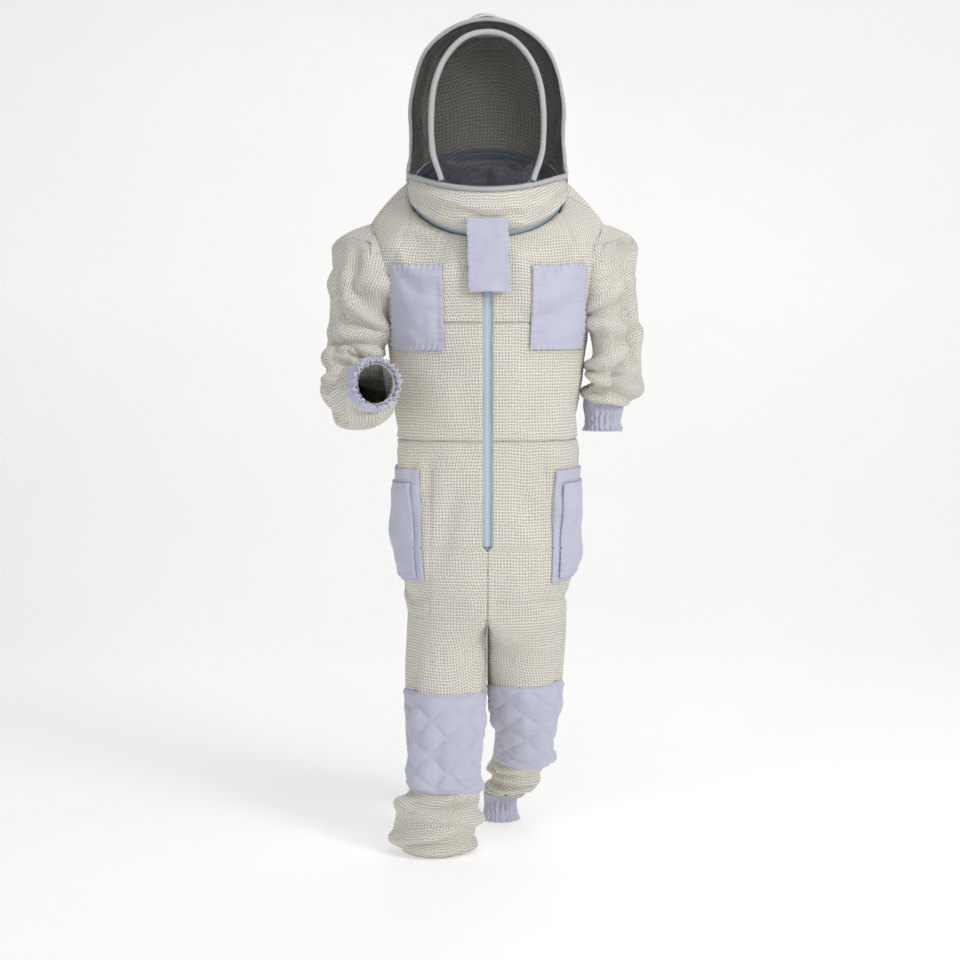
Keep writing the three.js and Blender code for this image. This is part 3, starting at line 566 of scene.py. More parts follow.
# ---- Cloth: the fabric is cut longer than the body, hangs from its seams and buckles ----
def add_folds(grid, heart, folds, closed=False):
    """The grid moved outwards by folds, in metres. heart: a point or a line inside it."""
    return grid + outward(grid, heart, closed) * folds[..., None]


def lengthened(grid, growth, widening=0.0):
    """The cloth as cut: each row is further along the tube than it lies, by growth for each step."""
    centre = grid.mean(axis=1)
    step = np.diff(centre, axis=0) * np.asarray(growth)[:, None]
    shift = np.concatenate([[[0, 0, 0]], np.cumsum(step, axis=0)])
    return centre[:, None] + (grid - centre[:, None]) * (1 + widening) + shift[:, None]


def simulate(jobs, frames=24):
    """jobs: name, grid, rest grid, hold (0 to 1 for each point), closed. Returns the draped grids."""
    scene = bpy.context.scene
    scene.frame_start, scene.frame_end = 1, frames
    made = {}
    for name, grid, rest, hold, closed in jobs:
        rows, columns = grid.shape[:2]
        faces = grid_faces(rows, columns, closed).tolist()
        obj = make("sim_" + name, grid.reshape(-1, 3), faces, settled=False)
        obj.shape_key_add(name="Basis")
        key = obj.shape_key_add(name="cut")
        key.data.foreach_set("co", (rest.reshape(-1, 3) + ORIGIN).ravel())
        key.value = 0
        group = obj.vertex_groups.new(name="hold")
        share = np.round(hold.ravel(), 2)
        for level in np.unique(share):
            group.add(np.flatnonzero(share == level).tolist(), float(level), "REPLACE")
        cloth_mod = obj.modifiers.new("cloth", "CLOTH")
        c = cloth_mod.settings
        c.quality = 6
        c.mass = 0.25
        c.tension_stiffness = c.compression_stiffness = 25
        c.shear_stiffness = 8
        c.bending_stiffness = 6
        c.air_damping = 3
        c.vertex_group_mass = "hold"
        c.pin_stiffness = 1.2
        c.rest_shape_key = key
        cloth_mod.collision_settings.use_collision = False
        cloth_mod.point_cache.frame_start, cloth_mod.point_cache.frame_end = 1, frames
        made[name] = obj, grid.shape
    for k in range(1, frames + 1):
        scene.frame_set(k)
    graph = bpy.context.evaluated_depsgraph_get()
    result = {}
    for name, (obj, shape) in made.items():
        mesh = obj.evaluated_get(graph).to_mesh()
        co = np.zeros(len(mesh.vertices) * 3)
        mesh.vertices.foreach_get("co", co)
        result[name] = co.reshape(shape) - ORIGIN
    for obj, _ in made.values():
        remove(obj)
    scene.frame_set(1)
    return result


def tube_grid(surface, end, first, rows, columns):
    """A tube's points from its top down to end. first: the angle of its first column."""
    s = np.linspace(0, end, rows)[:, None]
    angle = (first + np.linspace(0, 2 * math.pi, columns, endpoint=False))[None, :]
    s, angle = np.broadcast_arrays(s, angle)
    return surface(angle, s)


# ---- Looks: every texture is made by nodes ----
class Look:
    """A material with its Principled shader, and short ways to make nodes."""

    def __init__(self, name, roughness=0.9, sheen=0.0, sheen_roughness=0.5, metallic=0.0):
        self.material = bpy.data.materials.new(name)
        self.material.use_nodes = True
        self.tree = self.material.node_tree
        self.shader = self.tree.nodes["Principled BSDF"]
        self.shader.inputs["Roughness"].default_value = roughness
        self.shader.inputs["Metallic"].default_value = metallic
        self.shader.inputs["Sheen Weight"].default_value = sheen
        self.shader.inputs["Sheen Roughness"].default_value = sheen_roughness
        self.shader.inputs["Specular IOR Level"].default_value = 0.2 if metallic == 0 else 0.5

    def node(self, kind, inputs=(), **settings):
        n = self.tree.nodes.new(kind)
        for key, value in settings.items():
            setattr(n, key, value)
        for key, value in dict(inputs).items():
            if isinstance(value, bpy.types.NodeSocket):
                self.tree.links.new(value, n.inputs[key])
            else:
                n.inputs[key].default_value = value
        return n

    def math(self, operation, a, b=0.0, c=0.0):
        return self.node("ShaderNodeMath", {0: a, 1: b, 2: c}, operation=operation).outputs[0]

    def mix(self, share, a, b):
        n = self.node("ShaderNodeMix", {0: share, 6: a, 7: b}, data_type="RGBA")
        return n.outputs[2]

    def noise(self, scale, detail=2.0, roughness=0.5, vector=None):
        """Noise over the piece's own place, from 0 to 1."""
        at = vector or self.place()
        inputs = {"Vector": at, "Scale": scale, "Detail": detail, "Roughness": roughness}
        return self.node("ShaderNodeTexNoise", inputs).outputs[0]

    def place(self):
        return self.node("ShaderNodeTexCoord").outputs["Object"]

    def grain(self, pitch, wobble=0.0):
        """The two directions of the cloth, counted in threads or cells of that pitch, in metres."""
        uv = self.node("ShaderNodeUVMap", uv_map="grain").outputs[0]
        axes = self.node("ShaderNodeSeparateXYZ", {0: uv})
        stray = self.math("MULTIPLY", self.math("SUBTRACT", self.noise(90, 1), 0.5), wobble)
        return [
            self.math("ADD", self.math("DIVIDE", axis, pitch), stray) for axis in axes.outputs[:2]
        ]

    def wave(self, turns):
        """0 on each line of the lattice and 1 between them."""
        return self.math("ABSOLUTE", self.math("SINE", self.math("MULTIPLY", turns, math.pi)))

    def finish(self, colour, height=None, strength=0.3, distance=0.001, alpha=None):
        self.tree.links.new(colour, self.shader.inputs["Base Color"])
        if height is not None:
            bump = self.node(
                "ShaderNodeBump", {"Height": height, "Strength": strength, "Distance": distance}
            )
            self.tree.links.new(bump.outputs[0], self.shader.inputs["Normal"])
        if alpha is not None:
            self.tree.links.new(alpha, self.shader.inputs["Alpha"])
        return self.material


def rgb(r, g, b):
    return (r, g, b, 1.0)


def darker(colour, share):
    return rgb(*[c * share for c in colour])


def waffle_look():
    """Cream three-layer mesh: a raised lattice of yarn round holes painted darker as shade."""
    look = Look("mesh_fabric_look", roughness=0.95, sheen=0.12)
    u, v = look.grain(WAFFLE, wobble=0.5)
    hole = look.math("MULTIPLY", look.wave(u), look.wave(v))
    hole = look.math("POWER", hole, 1.15)
    yarn = look.noise(1400, 1, 0.6)
    soft = look.noise(9, 2, 0.5)
    light = look.mix(soft, rgb(*CREAM_LOW), rgb(*CREAM))
    # the holes take the dark third colour: painted shade in the recesses between the yarn
    colour = look.mix(look.math("MULTIPLY", hole, 0.64), light, rgb(*HOLE_SHADE))
    height = look.math("SUBTRACT", look.math("MULTIPLY", yarn, 0.25), hole)
    return look.finish(colour, height, 0.75, 0.0020)


def twill_look(name, low, high, pitch=0.0011):
    """Cotton drill: fine slanted ribs, a few slubs and uneven washing."""
    look = Look(name, roughness=0.88, sheen=0.15)
    u, v = look.grain(pitch, wobble=0.3)
    rib = look.wave(look.math("ADD", u, v))
    slub = look.noise(700, 2, 0.6)
    wash = look.noise(22, 3, 0.6)
    colour = look.mix(wash, rgb(*low), rgb(*high))
    colour = look.mix(look.math("MULTIPLY", rib, 0.12), colour, darker(low, 0.6))
    height = look.math("ADD", look.math("MULTIPLY", rib, 0.5), slub)
    return look.finish(colour, height, 0.25, 0.0004)


# The third colour is painted shade: the dark of the mesh fabric's holes, not a colour of the yarn.
CREAM, CREAM_LOW, HOLE_SHADE = (0.93, 0.895, 0.81), (0.85, 0.815, 0.73), (0.17, 0.16, 0.14)
COTTON_HIGH, COTTON_LOW = (0.62, 0.625, 0.745), (0.52, 0.525, 0.64)


# ---- Draping ----
WAFFLE_MESH = waffle_look()
DRILL = twill_look("white_cotton_look", COTTON_LOW, COTTON_HIGH)


def sleeve_folds(hand, shape):
    """Ridges that run part of the way round a sleeve."""
    s = np.linspace(0, CUFF_FROM[hand], shape[0])[:, None]
    turn = np.linspace(0, 2 * math.pi, shape[1], endpoint=False)[None, :]
    total = np.zeros(shape)
    for at, width, height, middle, slant in SLEEVE_FOLDS[hand]:
        share = smooth(0.55 + np.cos(turn - middle) * 0.6)
        total += height * bump(s + slant * np.sin(turn - middle), at, width) * share
    return total


# Each fold: place along the limb, width, height, middle of its turn in radians, and slant.
SLEEVE_FOLDS = {
    "right": [
        [0.300, 0.022, 0.010, 4.6, 0.02],
        [0.370, 0.018, 0.010, 4.2, -0.03],
        [0.435, 0.020, 0.011, 5.0, 0.02],
        [0.500, 0.018, 0.011, 4.4, 0.03],
        [0.570, 0.016, 0.009, 4.9, -0.03],
        [0.650, 0.018, 0.009, 4.8, 0.02],
        [0.730, 0.016, 0.008, 4.2, -0.02],
        [0.810, 0.016, 0.007, 4.6, 0.02],
    ],
    "left": [
        [0.380, 0.018, 0.008, 4.7, 0.02],
        [0.480, 0.022, 0.014, 4.9, -0.03],
        [0.570, 0.022, 0.014, 4.6, 0.03],
        [0.660, 0.022, 0.013, 4.9, -0.02],
        [0.750, 0.018, 0.010, 4.5, 0.02],
    ],
}
LEG_FOLDS = {
    "right": [
        [0.10, 0.030, 0.006, 5.2, 0.05],
        [0.46, 0.020, 0.009, 4.4, 0.04],
        [0.53, 0.018, 0.011, 5.0, -0.03],
        [0.60, 0.018, 0.011, 4.4, 0.03],
        [0.67, 0.018, 0.010, 5.2, -0.02],
    ],
    "left": [
        [0.12, 0.030, 0.006, 4.2, -0.04],
        [0.66, 0.022, 0.009, 4.9, 0.03],
        [0.75, 0.020, 0.010, 4.5, -0.03],
        [0.84, 0.018, 0.009, 4.8, 0.02],
        [0.92, 0.016, 0.007, 4.5, -0.02],
    ],
}


def leg_folds(hand, shape):
    s = np.linspace(0, 1, shape[0])[:, None]
    turn = -math.pi / 2 + np.linspace(0, 2 * math.pi, shape[1], endpoint=False)[None, :]
    total = np.zeros(shape)
    for at, width, height, middle, slant in LEG_FOLDS[hand]:
        share = smooth(0.5 + 0.6 * np.cos(turn - (middle + math.pi / 2)))
        total += height * bump(s + slant * np.sin(turn), at, width) * share
    return total


def torso_free(torso):
    """1 where the body cloth hangs free, 0 along its seams, the zip and the armholes."""
    shape = torso.shape[:2]
    edge = np.minimum(np.arange(shape[1]), shape[1] - 1 - np.arange(shape[1]))[None, :]
    free = smooth((edge - 1) / 6) * np.ones(shape)
    waist = round((WAIST - CROTCH) / (CHEST - CROTCH) * BODY_ROWS)
    for row in (0, waist, BODY_ROWS, shape[0] - 1):
        free *= smooth(np.abs(np.arange(shape[0]) - row)[:, None] / 4)
    hole = np.minimum(from_shoulder(torso, -1), from_shoulder(torso, 1))
    free *= smooth((hole - ARMHOLE - 0.004) / 0.03)
    return free


SOFT_HILLS = 0.0045  # height of the broad hills over the body cloth, in metres
FOLDS_AGAIN = 0.75  # share of each fold's height that is added after the cloth has settled


def torso_job():
    torso = torso_base()
    shape = torso.shape[:2]
    low = 0.0060 * noise(shape, (11, 8), 1) + 0.0040 * noise(shape, (5, 9), 2)
    free = torso_free(torso)
    base = add_folds(torso, TRUNK_HEART, low * free)
    rest = lengthened(base, np.full(shape[0] - 1, 0.055), 0.012)
    return "torso", base, rest, np.clip(0.05 + 0.95 * (1 - free), 0, 1), False


def leg_job(hand):
    rows, columns = LEG_GRID
    grid = tube_grid(lambda angle, s: leg_point(hand, angle, s), 1, -math.pi / 2, rows, columns)
    centre = np.array([grid[..., 0].mean(), grid[..., 1].mean(), 0.25])
    folds = leg_folds(hand, LEG_GRID) + 0.003 * noise(LEG_GRID, (5, 12), 11 + len(hand), True)
    from_end = np.minimum(np.arange(rows), rows - 1 - np.arange(rows))[:, None]
    base = add_folds(grid, centre, folds * smooth(from_end / 6), True)
    rest = lengthened(base, np.linspace(0.06, 0.16, rows - 1), 0.01)
    hold = 0.04 + 0.96 * (from_end < 3) * np.ones(LEG_GRID)
    return "leg_" + hand, base, rest, hold, True


def sleeve_job(hand):
    shape = SLEEVE_GRID[hand]
    rows = shape[0]
    grid = tube_grid(limb(SLEEVES[hand]), CUFF_FROM[hand], math.pi / 2, *shape)
    folds = sleeve_folds(hand, shape) + 0.003 * noise(shape, (5, 11), 21 + len(hand), True)
    s = np.linspace(0, 1, rows)
    fade = smooth((s - SLEEVE_HELD) / 0.08) * smooth((1 - s) / 0.04)
    base = add_folds(grid, grid.mean(axis=1, keepdims=True), folds * fade[:, None], True)
    growth = np.where(np.linspace(0, 1, rows - 1) < SLEEVE_HELD, 0.0, 0.17)
    hold = 0.04 + 0.96 * (1 - fade[:, None] * np.ones(shape))
    return "sleeve_" + hand, base, lengthened(base, growth, 0.01), hold, True


def stand_out(tube, folds):
    """The hills of the bunched folds stand out again after the cloth has settled."""
    s = np.linspace(0, 1, len(tube))
    fade = smooth((s - SLEEVE_HELD) / 0.08) * smooth((1 - s) / 0.06)
    hills = FOLDS_AGAIN * (folds * fade[:, None])
    return add_folds(tube, tube.mean(axis=1, keepdims=True), hills, True)


def part_leg(leg, side):
    """The two legs press against each other, and each stays on its own side."""
    x = leg[..., 0]
    high = smooth((leg[..., 2] - 0.20) / 0.05)
    x = x - side * 0.009 * smooth((0.06 - side * x) / 0.05) * high
    leg[..., 0] = x + high * (side * np.maximum(side * x, 0.0008) - x)


LEG_GRID = (72, 64)
SLEEVE_GRID = {"right": (96, 56), "left": (72, 56)}
SLEEVE_HELD = 0.17  # share of a sleeve, from the armhole, that keeps its round shape
TRUNK_HEART = np.array([0, MIDDLE, 0.8])

jobs = [torso_job()]
for hand in ("right", "left"):
    jobs += [leg_job(hand), sleeve_job(hand)]
draped = simulate(jobs)
for hand, side in (("right", -1), ("left", 1)):
    for part, folds in (("sleeve_", sleeve_folds), ("leg_", leg_folds)):
        tube = draped[part + hand]
        draped[part + hand] = stand_out(tube, folds(hand, tube.shape[:2]))
    part_leg(draped["leg_" + hand], side)
torso = draped["torso"]
swell = SOFT_HILLS * noise(torso.shape[:2], (15, 11), 5) * torso_free(torso)
draped["torso"] = add_folds(torso, TRUNK_HEART, swell)


# ---- Panels of the mesh fabric ----
def fine_places(count, seams, step=2.0, near=(0.25, 0.6, 1.1)):
    """Places along a grid, closer together beside the seams."""
    marks = set(np.linspace(0, count - 1, int((count - 1) * step) + 1))
    for seam in seams:
        for d in (0, *near):
            marks.update({seam - d, seam + d})
    kept = list(seams)
    for mark in sorted(marks, key=lambda m: (m not in (0, count - 1), m)):
        if 0 <= mark <= count - 1 and min([abs(mark - k) for k in kept], default=1) > 0.12:
            kept.append(mark)
    return np.array(sorted(kept))


WAIST_ROW = (WAIST - CROTCH) / (CHEST - CROTCH) * BODY_ROWS
SIDE_LEFT = (TORSO_COLUMNS - 1) / 4
SIDE_RIGHT = (TORSO_COLUMNS - 1) * 3 / 4
TOP_ROW = BODY_ROWS + YOKE_ROWS
LEG_SEAM_ROW = 3.55  # where the level seam of LEG_SEAM crosses the sheet

# Seams inside a panel: x at the low end, x at the high end, low z, high z.
INNER_SEAMS = [
    (-0.118, -0.112, 0.475, 0.775),
    (0.120, 0.114, 0.475, 0.775),
    (-0.190, -0.128, 1.172, 1.330),
    (0.190, 0.128, 1.172, 1.330),
]
LEG_SEAM = (0.012, 0.165, 0.503, 0.505)  # the same, level, across the wearer's left thigh


def inner_grooves(grid):
    """How far the seams inside a panel pull its face in, at each point."""
    x, z = grid[..., 0], grid[..., 2]
    total = np.zeros(x.shape)
    for x0, x1, z0, z1 in INNER_SEAMS:
        line = x0 + (x1 - x0) * (z - z0) / (z1 - z0)
        inside = smooth((z - z0) / 0.004) * smooth((z1 - z) / 0.004) * (grid[..., 1] < MIDDLE)
        total -= 0.0024 * np.exp(-(((x - line) / 0.0035) ** 2)) * inside
    x0, x1, z0, z1 = LEG_SEAM
    inside = (x > x0) & (grid[..., 1] < MIDDLE)
    line = z0 + (z1 - z0) * (x - x0) / (x1 - x0)
    return total - 0.0024 * np.exp(-(((z - line) / 0.0035) ** 2)) * inside


def torso_panel(name, nodes, rows, columns):
    grid = draped["torso"]
    seam_rows = [*rows] + ([LEG_SEAM_ROW] if name == "trouser_front_left_fabric" else [])
    r = fine_places(grid.shape[0], seam_rows)
    r = r[(r >= rows[0]) & (r <= rows[1])]
    c = fine_places(grid.shape[1], [*columns], step=2.6)
    c = c[(c >= columns[0]) & (c <= columns[1])]
    fine = resample(grid, r, c)
    n = outward(fine, np.array([0, MIDDLE, 0.9]))
    seams_at = np.array([k for k in rows if k > 0])
    # one row is about 9.2 mm of cloth and one column about 9 mm
    down = np.abs(r[:, None] - seams_at).min(axis=1)[:, None] * 0.0092
    across = np.abs(c[:, None] - np.array(columns)).min(axis=1)[None, :] * 0.009
    away = np.minimum(down, across)
    pucker = 0.0011 * noise(fine.shape[:2], (5, 5), len(name)) * np.exp(-away / 0.012)
    groove = -0.0030 * np.exp(-((away / 0.0028) ** 2)) + 0.0009 * bump(away, 0.007, 0.003)
    fine = fine + n * (groove + pucker + inner_grooves(fine))[..., None]
    uv = grain(fine)
    keep = None
    if rows[0] == BODY_ROWS:
        fine, keep = cut_armholes(fine)
    return cloth(name, fine, MESH, WAFFLE_MESH, "suit", nodes, uv=uv, keep=keep, heart=(0, MIDDLE, 0.9))


def cut_armholes(grid):
    """Moves the points beside each hole onto its edge. Returns the grid and which points stay."""
    grid = grid.copy()
    keep = np.ones(grid.shape[:2], bool)
    for side in (-1, 1):
        centre, out = shoulder_axis(side)
        rel = grid - centre
        depth = rel @ out
        flat = rel - depth[..., None] * out
        rho = np.linalg.norm(flat, axis=-1)
        near = (depth > -0.07) & (depth < 0.1)
        inside = (rho < ARMHOLE) & near
        beside = np.zeros_like(inside)
        for dr in (-1, 0, 1):
            for dc in (-1, 0, 1):
                beside |= ~np.roll(np.roll(inside, dr, 0), dc, 1)
        rim = inside & beside
        onto = flat * (ARMHOLE / np.maximum(rho, 1e-6))[..., None]
        moved = centre + depth[..., None] * out + onto
        grid[rim] = moved[rim]
        keep &= ~(inside & ~rim)
    return grid, keep


STOREYS = {
    "trouser": (0, WAIST_ROW),
    "body": (WAIST_ROW, BODY_ROWS),
    "yoke": (BODY_ROWS, TOP_ROW),
}
WIDTHS = {
    "front_left": (0, SIDE_LEFT),
    "back": (SIDE_LEFT, SIDE_RIGHT),
    "front_right": (SIDE_RIGHT, TORSO_COLUMNS - 1),
}
for storey, rows in STOREYS.items():
    for width, columns in WIDTHS.items():
        torso_panel(f"{storey}_{width}_fabric", f"{storey}_{width}", rows, columns)


def leg_panels(hand):
    """A leg's front and back, each drawn in at its two side seams."""
    grid = draped["leg_" + hand]
    fine = resample(grid, fine_places(grid.shape[0], []), np.arange(0, grid.shape[1], 0.5), True)
    count = fine.shape[1]
    half = count // 2
    centre = fine.mean(axis=1, keepdims=True)
    for part, first in (("front", 0), ("back", half)):
        panel = fine[:, np.arange(first, first + half + 1) % count]
        edge = np.minimum(np.arange(half + 1), half - np.arange(half + 1)) * 0.0045
        drawn_in = -0.0022 * np.exp(-((edge / 0.003) ** 2))
        panel = panel + outward(panel, centre) * drawn_in[None, :, None]
        name, heart = f"leg_{part}_{hand}", centre.mean(axis=(0, 1))
        cloth(name + "_fabric", panel, MESH, WAFFLE_MESH, "suit", name, heart=heart)


def sleeve(hand):
    """A sleeve's fabric from its draped tube, closed round by repeating its first column."""
    name = "sleeve_" + hand
    grid = draped[name]
    fine = resample(grid, fine_places(grid.shape[0], []), np.arange(0, grid.shape[1], 0.5), True)
    top, low = (ORIGIN + SHOULDER + [0, 0, ARMHOLE * share] for share in SLEEVE_BEND)
    bodies = ("suit", name, tuple(top.tolist()), tuple(low.tolist()))
    wide = np.concatenate([fine, fine[:, :1]], axis=1)
    cloth(name + "_fabric", wide, MESH, WAFFLE_MESH, bodies, name, heart=fine.mean(axis=(0, 1)))


SLEEVE_BEND = (0.95, -0.45)  # where a bend over the shoulder would start and end, in armhole radii
for hand in ("right", "left"):
    leg_panels(hand)
    sleeve(hand)


# ---- Patches sewn onto the suit: pockets and knee pads ----
def edge_distance(uv):
    """Metres from each point to the nearest edge of its patch, sideways and up and down."""
    u, v = uv[..., 0], uv[..., 1]
    side = np.minimum(u, u[:, -1:] - u)
    end = np.minimum(v, v[-1:] - v)
    return side, end


def stitches(name, lines, material, body, length=0.0030, gap=0.0014, width=0.0007):
    """Lines of stitches, each a small raised thread. lines: pairs of points and outward normals."""
    co, faces = [], []
    for path, normal in lines:
        step = np.linalg.norm(np.diff(path, axis=0), axis=1)
        at = np.concatenate([[0], np.cumsum(step)])
        starts = np.arange(gap, at[-1] - length, length + gap)
        for start in starts:
            ends_at = np.array([start, start + length * 0.5, start + length])
            p = np.stack([np.interp(ends_at, at, path[:, k]) for k in range(3)], axis=1)
            n = np.stack([np.interp(ends_at, at, normal[:, k]) for k in range(3)], axis=1)
            along = p[2] - p[0]
            along /= max(np.linalg.norm(along), 1e-9)
            across = np.cross(n[1], along) * width / 2
            base = len(co)
            rise = n[1] * width
            co += [p[0] - rise * 0.4, p[2] - rise * 0.4]
            co += [p[1] + across, p[1] - across, p[1] + rise * 0.9, p[1] - rise * 0.5]
            for a, b in ((2, 4), (4, 3), (3, 5), (5, 2)):
                faces += [(base, base + a, base + b), (base + 1, base + b, base + a)]
    obj = make(name, np.array(co), faces, np.zeros((len(co), 2)), material)
    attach(obj, body)
    return obj


def border(grid, uv, inset, sides="lrbt"):
    """Lines on a patch at that distance inside its chosen edges: left, right, bottom and top."""
    rows, columns = grid.shape[:2]
    n = outward(grid, np.array([0, MIDDLE, grid[..., 2].mean()]))
    width, height = uv[:, -1, 0].mean(), uv[-1, :, 1].mean()
    r, c = inset / height * (rows - 1), inset / width * (columns - 1)
    lines = []
    long = np.linspace(r, rows - 1 - r, rows * 2)
    wide = np.linspace(c, columns - 1 - c, columns * 2)
    ways = {
        "l": (long, np.full(len(long), c)),
        "r": (long, np.full(len(long), columns - 1 - c)),
        "b": (np.full(len(wide), r), wide),
        "t": (np.full(len(wide), rows - 1 - r), wide),
    }
    for side in sides:
        a, b = ways[side]
        lines.append((sample(grid, a, b), sample(n, a, b)))
    return lines


def row_column(angle, z):
    """Row and column of the body's point at that angle round it and that height."""
    half = torso_profile(z)[..., 0]
    edge = np.array([front_angle(PLACKET, h) for h in half.ravel()]).reshape(half.shape)
    edge = np.where(z > ZIP_BOTTOM, edge, 0)
    t = (np.mod(angle, 2 * math.pi) - edge) / (2 * math.pi - 2 * edge)
    return (z - CROTCH) / (CHEST - CROTCH) * BODY_ROWS, t * (TORSO_COLUMNS - 1)


def cotton_patch(node, base, seed, lift=0.0016, swell=0.003, gather=0.0009):
    """A patch of drill over the fabric: a doubled hem on top, turned edges that pucker, a slack middle."""
    heart = np.array([0, MIDDLE, base[..., 2].mean()])
    n = outward(base, heart)
    uv = grain(base)
    side, end = edge_distance(uv)
    away = np.minimum(side, end)
    hem_top = 0.022
    r = np.random.default_rng(seed)
    phase = r.uniform(0, 6, 4)
    along = np.where(side < end, uv[..., 1], uv[..., 0])
    pucker = gather * np.sin(along / 0.0118 * 2 * math.pi + 1.4 * np.sin(along / 0.031 + phase[0]))
    pucker *= np.exp(-((away / 0.014) ** 2))
    slack = swell * smooth(away / 0.035) + 0.0014 * noise(base.shape[:2], (9, 7), seed) * smooth(away / 0.012)
    turned = 0.0009 * (1 - smooth((away - 0.0085) / 0.0015))
    from_top = uv[-1:, :, 1] - uv[..., 1]
    hem = 0.0012 * (1 - smooth((from_top - hem_top) / 0.002))
    seam_dent = -0.0009 * bump(away, 0.0085, 0.0012)
    grid = base + n * (lift + COTTON + pucker + slack + turned + hem + seam_dent)[..., None]
    drop = 0.0008 * np.sin(along / 0.013 * 2 * math.pi + phase[1])
    grid[..., 2] += np.where(end < 0.004, drop, 0)
    cloth(node + "_drill", grid, COTTON, DRILL, "suit", node, uv=uv, heart=heart)
    return grid, uv, border(grid, uv, 0.003) + border(grid, uv, 0.0085)


THREAD = twill_look("thread_look", (0.60, 0.61, 0.72), (0.66, 0.67, 0.78), 0.0004)
# x of each edge, then z of the bottom and the top
CHEST_POCKETS = {
    "right": (-0.190, -0.086, 1.006, 1.174),
    "left": (0.086, 0.194, 1.008, 1.174),
}
# z of the bottom and the top, angles round the body in degrees, lift and slack
HIP_POCKETS = {
    "hip_pocket_backing": (0.545, 0.768, 42, 118, 0.0014, 0.0015),
    "hip_pocket": (0.553, 0.742, 47, 113, 0.0058, 0.005),
}


def chest_pocket(hand, side):
    x0, x1, z0, z1 = CHEST_POCKETS[hand]
    u, v = np.meshgrid(np.linspace(0, 1, 45), np.linspace(0, 1, 70))
    lean = 0.004 * (v - 0.5) * side
    rows, columns = torso_place(x0 + (x1 - x0) * u + lean, z0 + (z1 - z0) * v)
    base = sample(draped["torso"], rows, columns)
    grid, uv, lines = cotton_patch("chest_pocket_" + hand, base, 31 + len(hand), gather=0.0012)
    return lines + border(grid, uv, 0.022, "t")


def hip_pocket(part, hand, side):
    z0, z1, a0, a1, lift, swell = HIP_POCKETS[part]
    u, v = np.meshgrid(np.linspace(0, 1, 34), np.linspace(0, 1, 70))
    angle = np.radians(a0 + (a1 - a0) * u) * side
    rows, columns = row_column(angle, z0 + (z1 - z0) * v)
    base = sample(draped["torso"], rows, columns)
    seed = 41 + len(part) + len(hand)
    return cotton_patch(f"{part}_{hand}", base, seed, lift=lift, swell=swell)[2]


sewn = []
for hand, side in (("right", -1), ("left", 1)):
    sewn += chest_pocket(hand, side)
    for part in HIP_POCKETS:
        sewn += hip_pocket(part, hand, side)
stitches("pocket_stitches", sewn, THREAD, "suit")


QUILT = 0.034  # half of a diamond's width
# shares of the leg at the top and the bottom, angles round the leg in degrees
KNEE_PADS = {
    "right": (0.187, 0.435, -84, 64),
    "left": (0.283, 0.655, -64, 80),
}


def knee_pad(hand):
    """Two layers of drill over wadding, quilted in diamonds. Returns its line of stitches."""
    top, bottom, turn0, turn1 = KNEE_PADS[hand]
    grid = draped["leg_" + hand]
    u, v = np.meshgrid(np.linspace(0, 1, 110), np.linspace(0, 1, 120))
    turn = np.radians(turn0 + (turn1 - turn0) * u)
    columns = (turn + math.pi / 2) / (2 * math.pi) * grid.shape[1]
    rows = (bottom + (top - bottom) * v) * (grid.shape[0] - 1)
    flat = soften(grid, 3, True) * 0.6 + grid * 0.4
    base = sample(flat, rows, columns, True)
    n = outward(base, base.mean(axis=(0, 1)) + [0, 0.1, 0])
    uv = grain(base)
    away = np.minimum(*edge_distance(uv))
    x, y = uv[..., 0] - uv[:, -1:, 0] / 2, uv[..., 1]
    stray = 0.0035 * noise(base.shape[:2], (24, 24), 51 + len(hand))
    a = np.abs(np.sin((x + y + stray) / (2 * QUILT) * math.pi))
    b = np.abs(np.sin((x - y + stray * 0.6 + 0.02) / (2 * QUILT) * math.pi))
    pillow = (a * b) ** 0.55
    wrinkle = noise(base.shape[:2], (5, 7), 61 + len(hand)) * 0.0009
    height = 0.0035 + smooth(away / 0.010) * (0.0016 + 0.0062 * pillow + wrinkle)
    height += 0.001 * bump(away, 0.006, 0.003)
    outer, inner = base + n * height[..., None], base - n * 0.0008
    faces = grid_faces(*outer.shape[:2])
    wound = np.cross(outer[0, 1] - outer[0, 0], outer[1, 0] - outer[0, 0]) @ n[0, 0]
    faces = faces[:, ::-1] if wound < 0 else faces
    inward = (inner - outer).reshape(-1, 3)
    co, faces, both = with_thickness(outer.reshape(-1, 3), inward, faces, uv.reshape(-1, 2))
    pad = make(f"knee_pad_{hand}_quilt", co, faces.tolist(), both, DRILL)
    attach(pad, "suit")
    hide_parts(f"knee_pad_{hand}")
    return border(outer, uv, 0.004)


stitches("knee_pad_stitches", knee_pad("right") + knee_pad("left"), THREAD, "suit")


# ---- Topstitching along the suit's own seams ----
def seam_line(rows, columns):
    """A line over the torso's cloth, just outside it, and its outward normals."""
    grid = draped["torso"]
    n = sample(outward(grid, np.array([0, MIDDLE, 0.9])), rows, columns)
    return sample(grid, rows, columns) + 0.0006 * n, n


CREAM_THREAD = twill_look("cream_thread_look", (0.62, 0.60, 0.55), (0.72, 0.69, 0.64), 0.0004)
lines = []
for row in (WAIST_ROW - 0.6, WAIST_ROW + 0.6, BODY_ROWS - 0.6, BODY_ROWS + 0.55):
    for first, last in (
        (0.6, SIDE_LEFT - 1),
        (SIDE_LEFT + 1, SIDE_RIGHT - 1),
        (SIDE_RIGHT + 1, TORSO_COLUMNS - 1.6),
    ):
        lines.append(seam_line(row, np.linspace(first, last, 160)))
for column in (SIDE_LEFT - 0.6, SIDE_LEFT + 0.6, SIDE_RIGHT - 0.6, SIDE_RIGHT + 0.6):
    lines.append(seam_line(np.linspace(1, BODY_ROWS - 1, 200), column))
for column in (0.75, TORSO_COLUMNS - 1.75):
    start = (ZIP_BOTTOM - CROTCH) / (CHEST - CROTCH) * BODY_ROWS
    lines.append(seam_line(np.linspace(start, TOP_ROW - 1, 300), column))
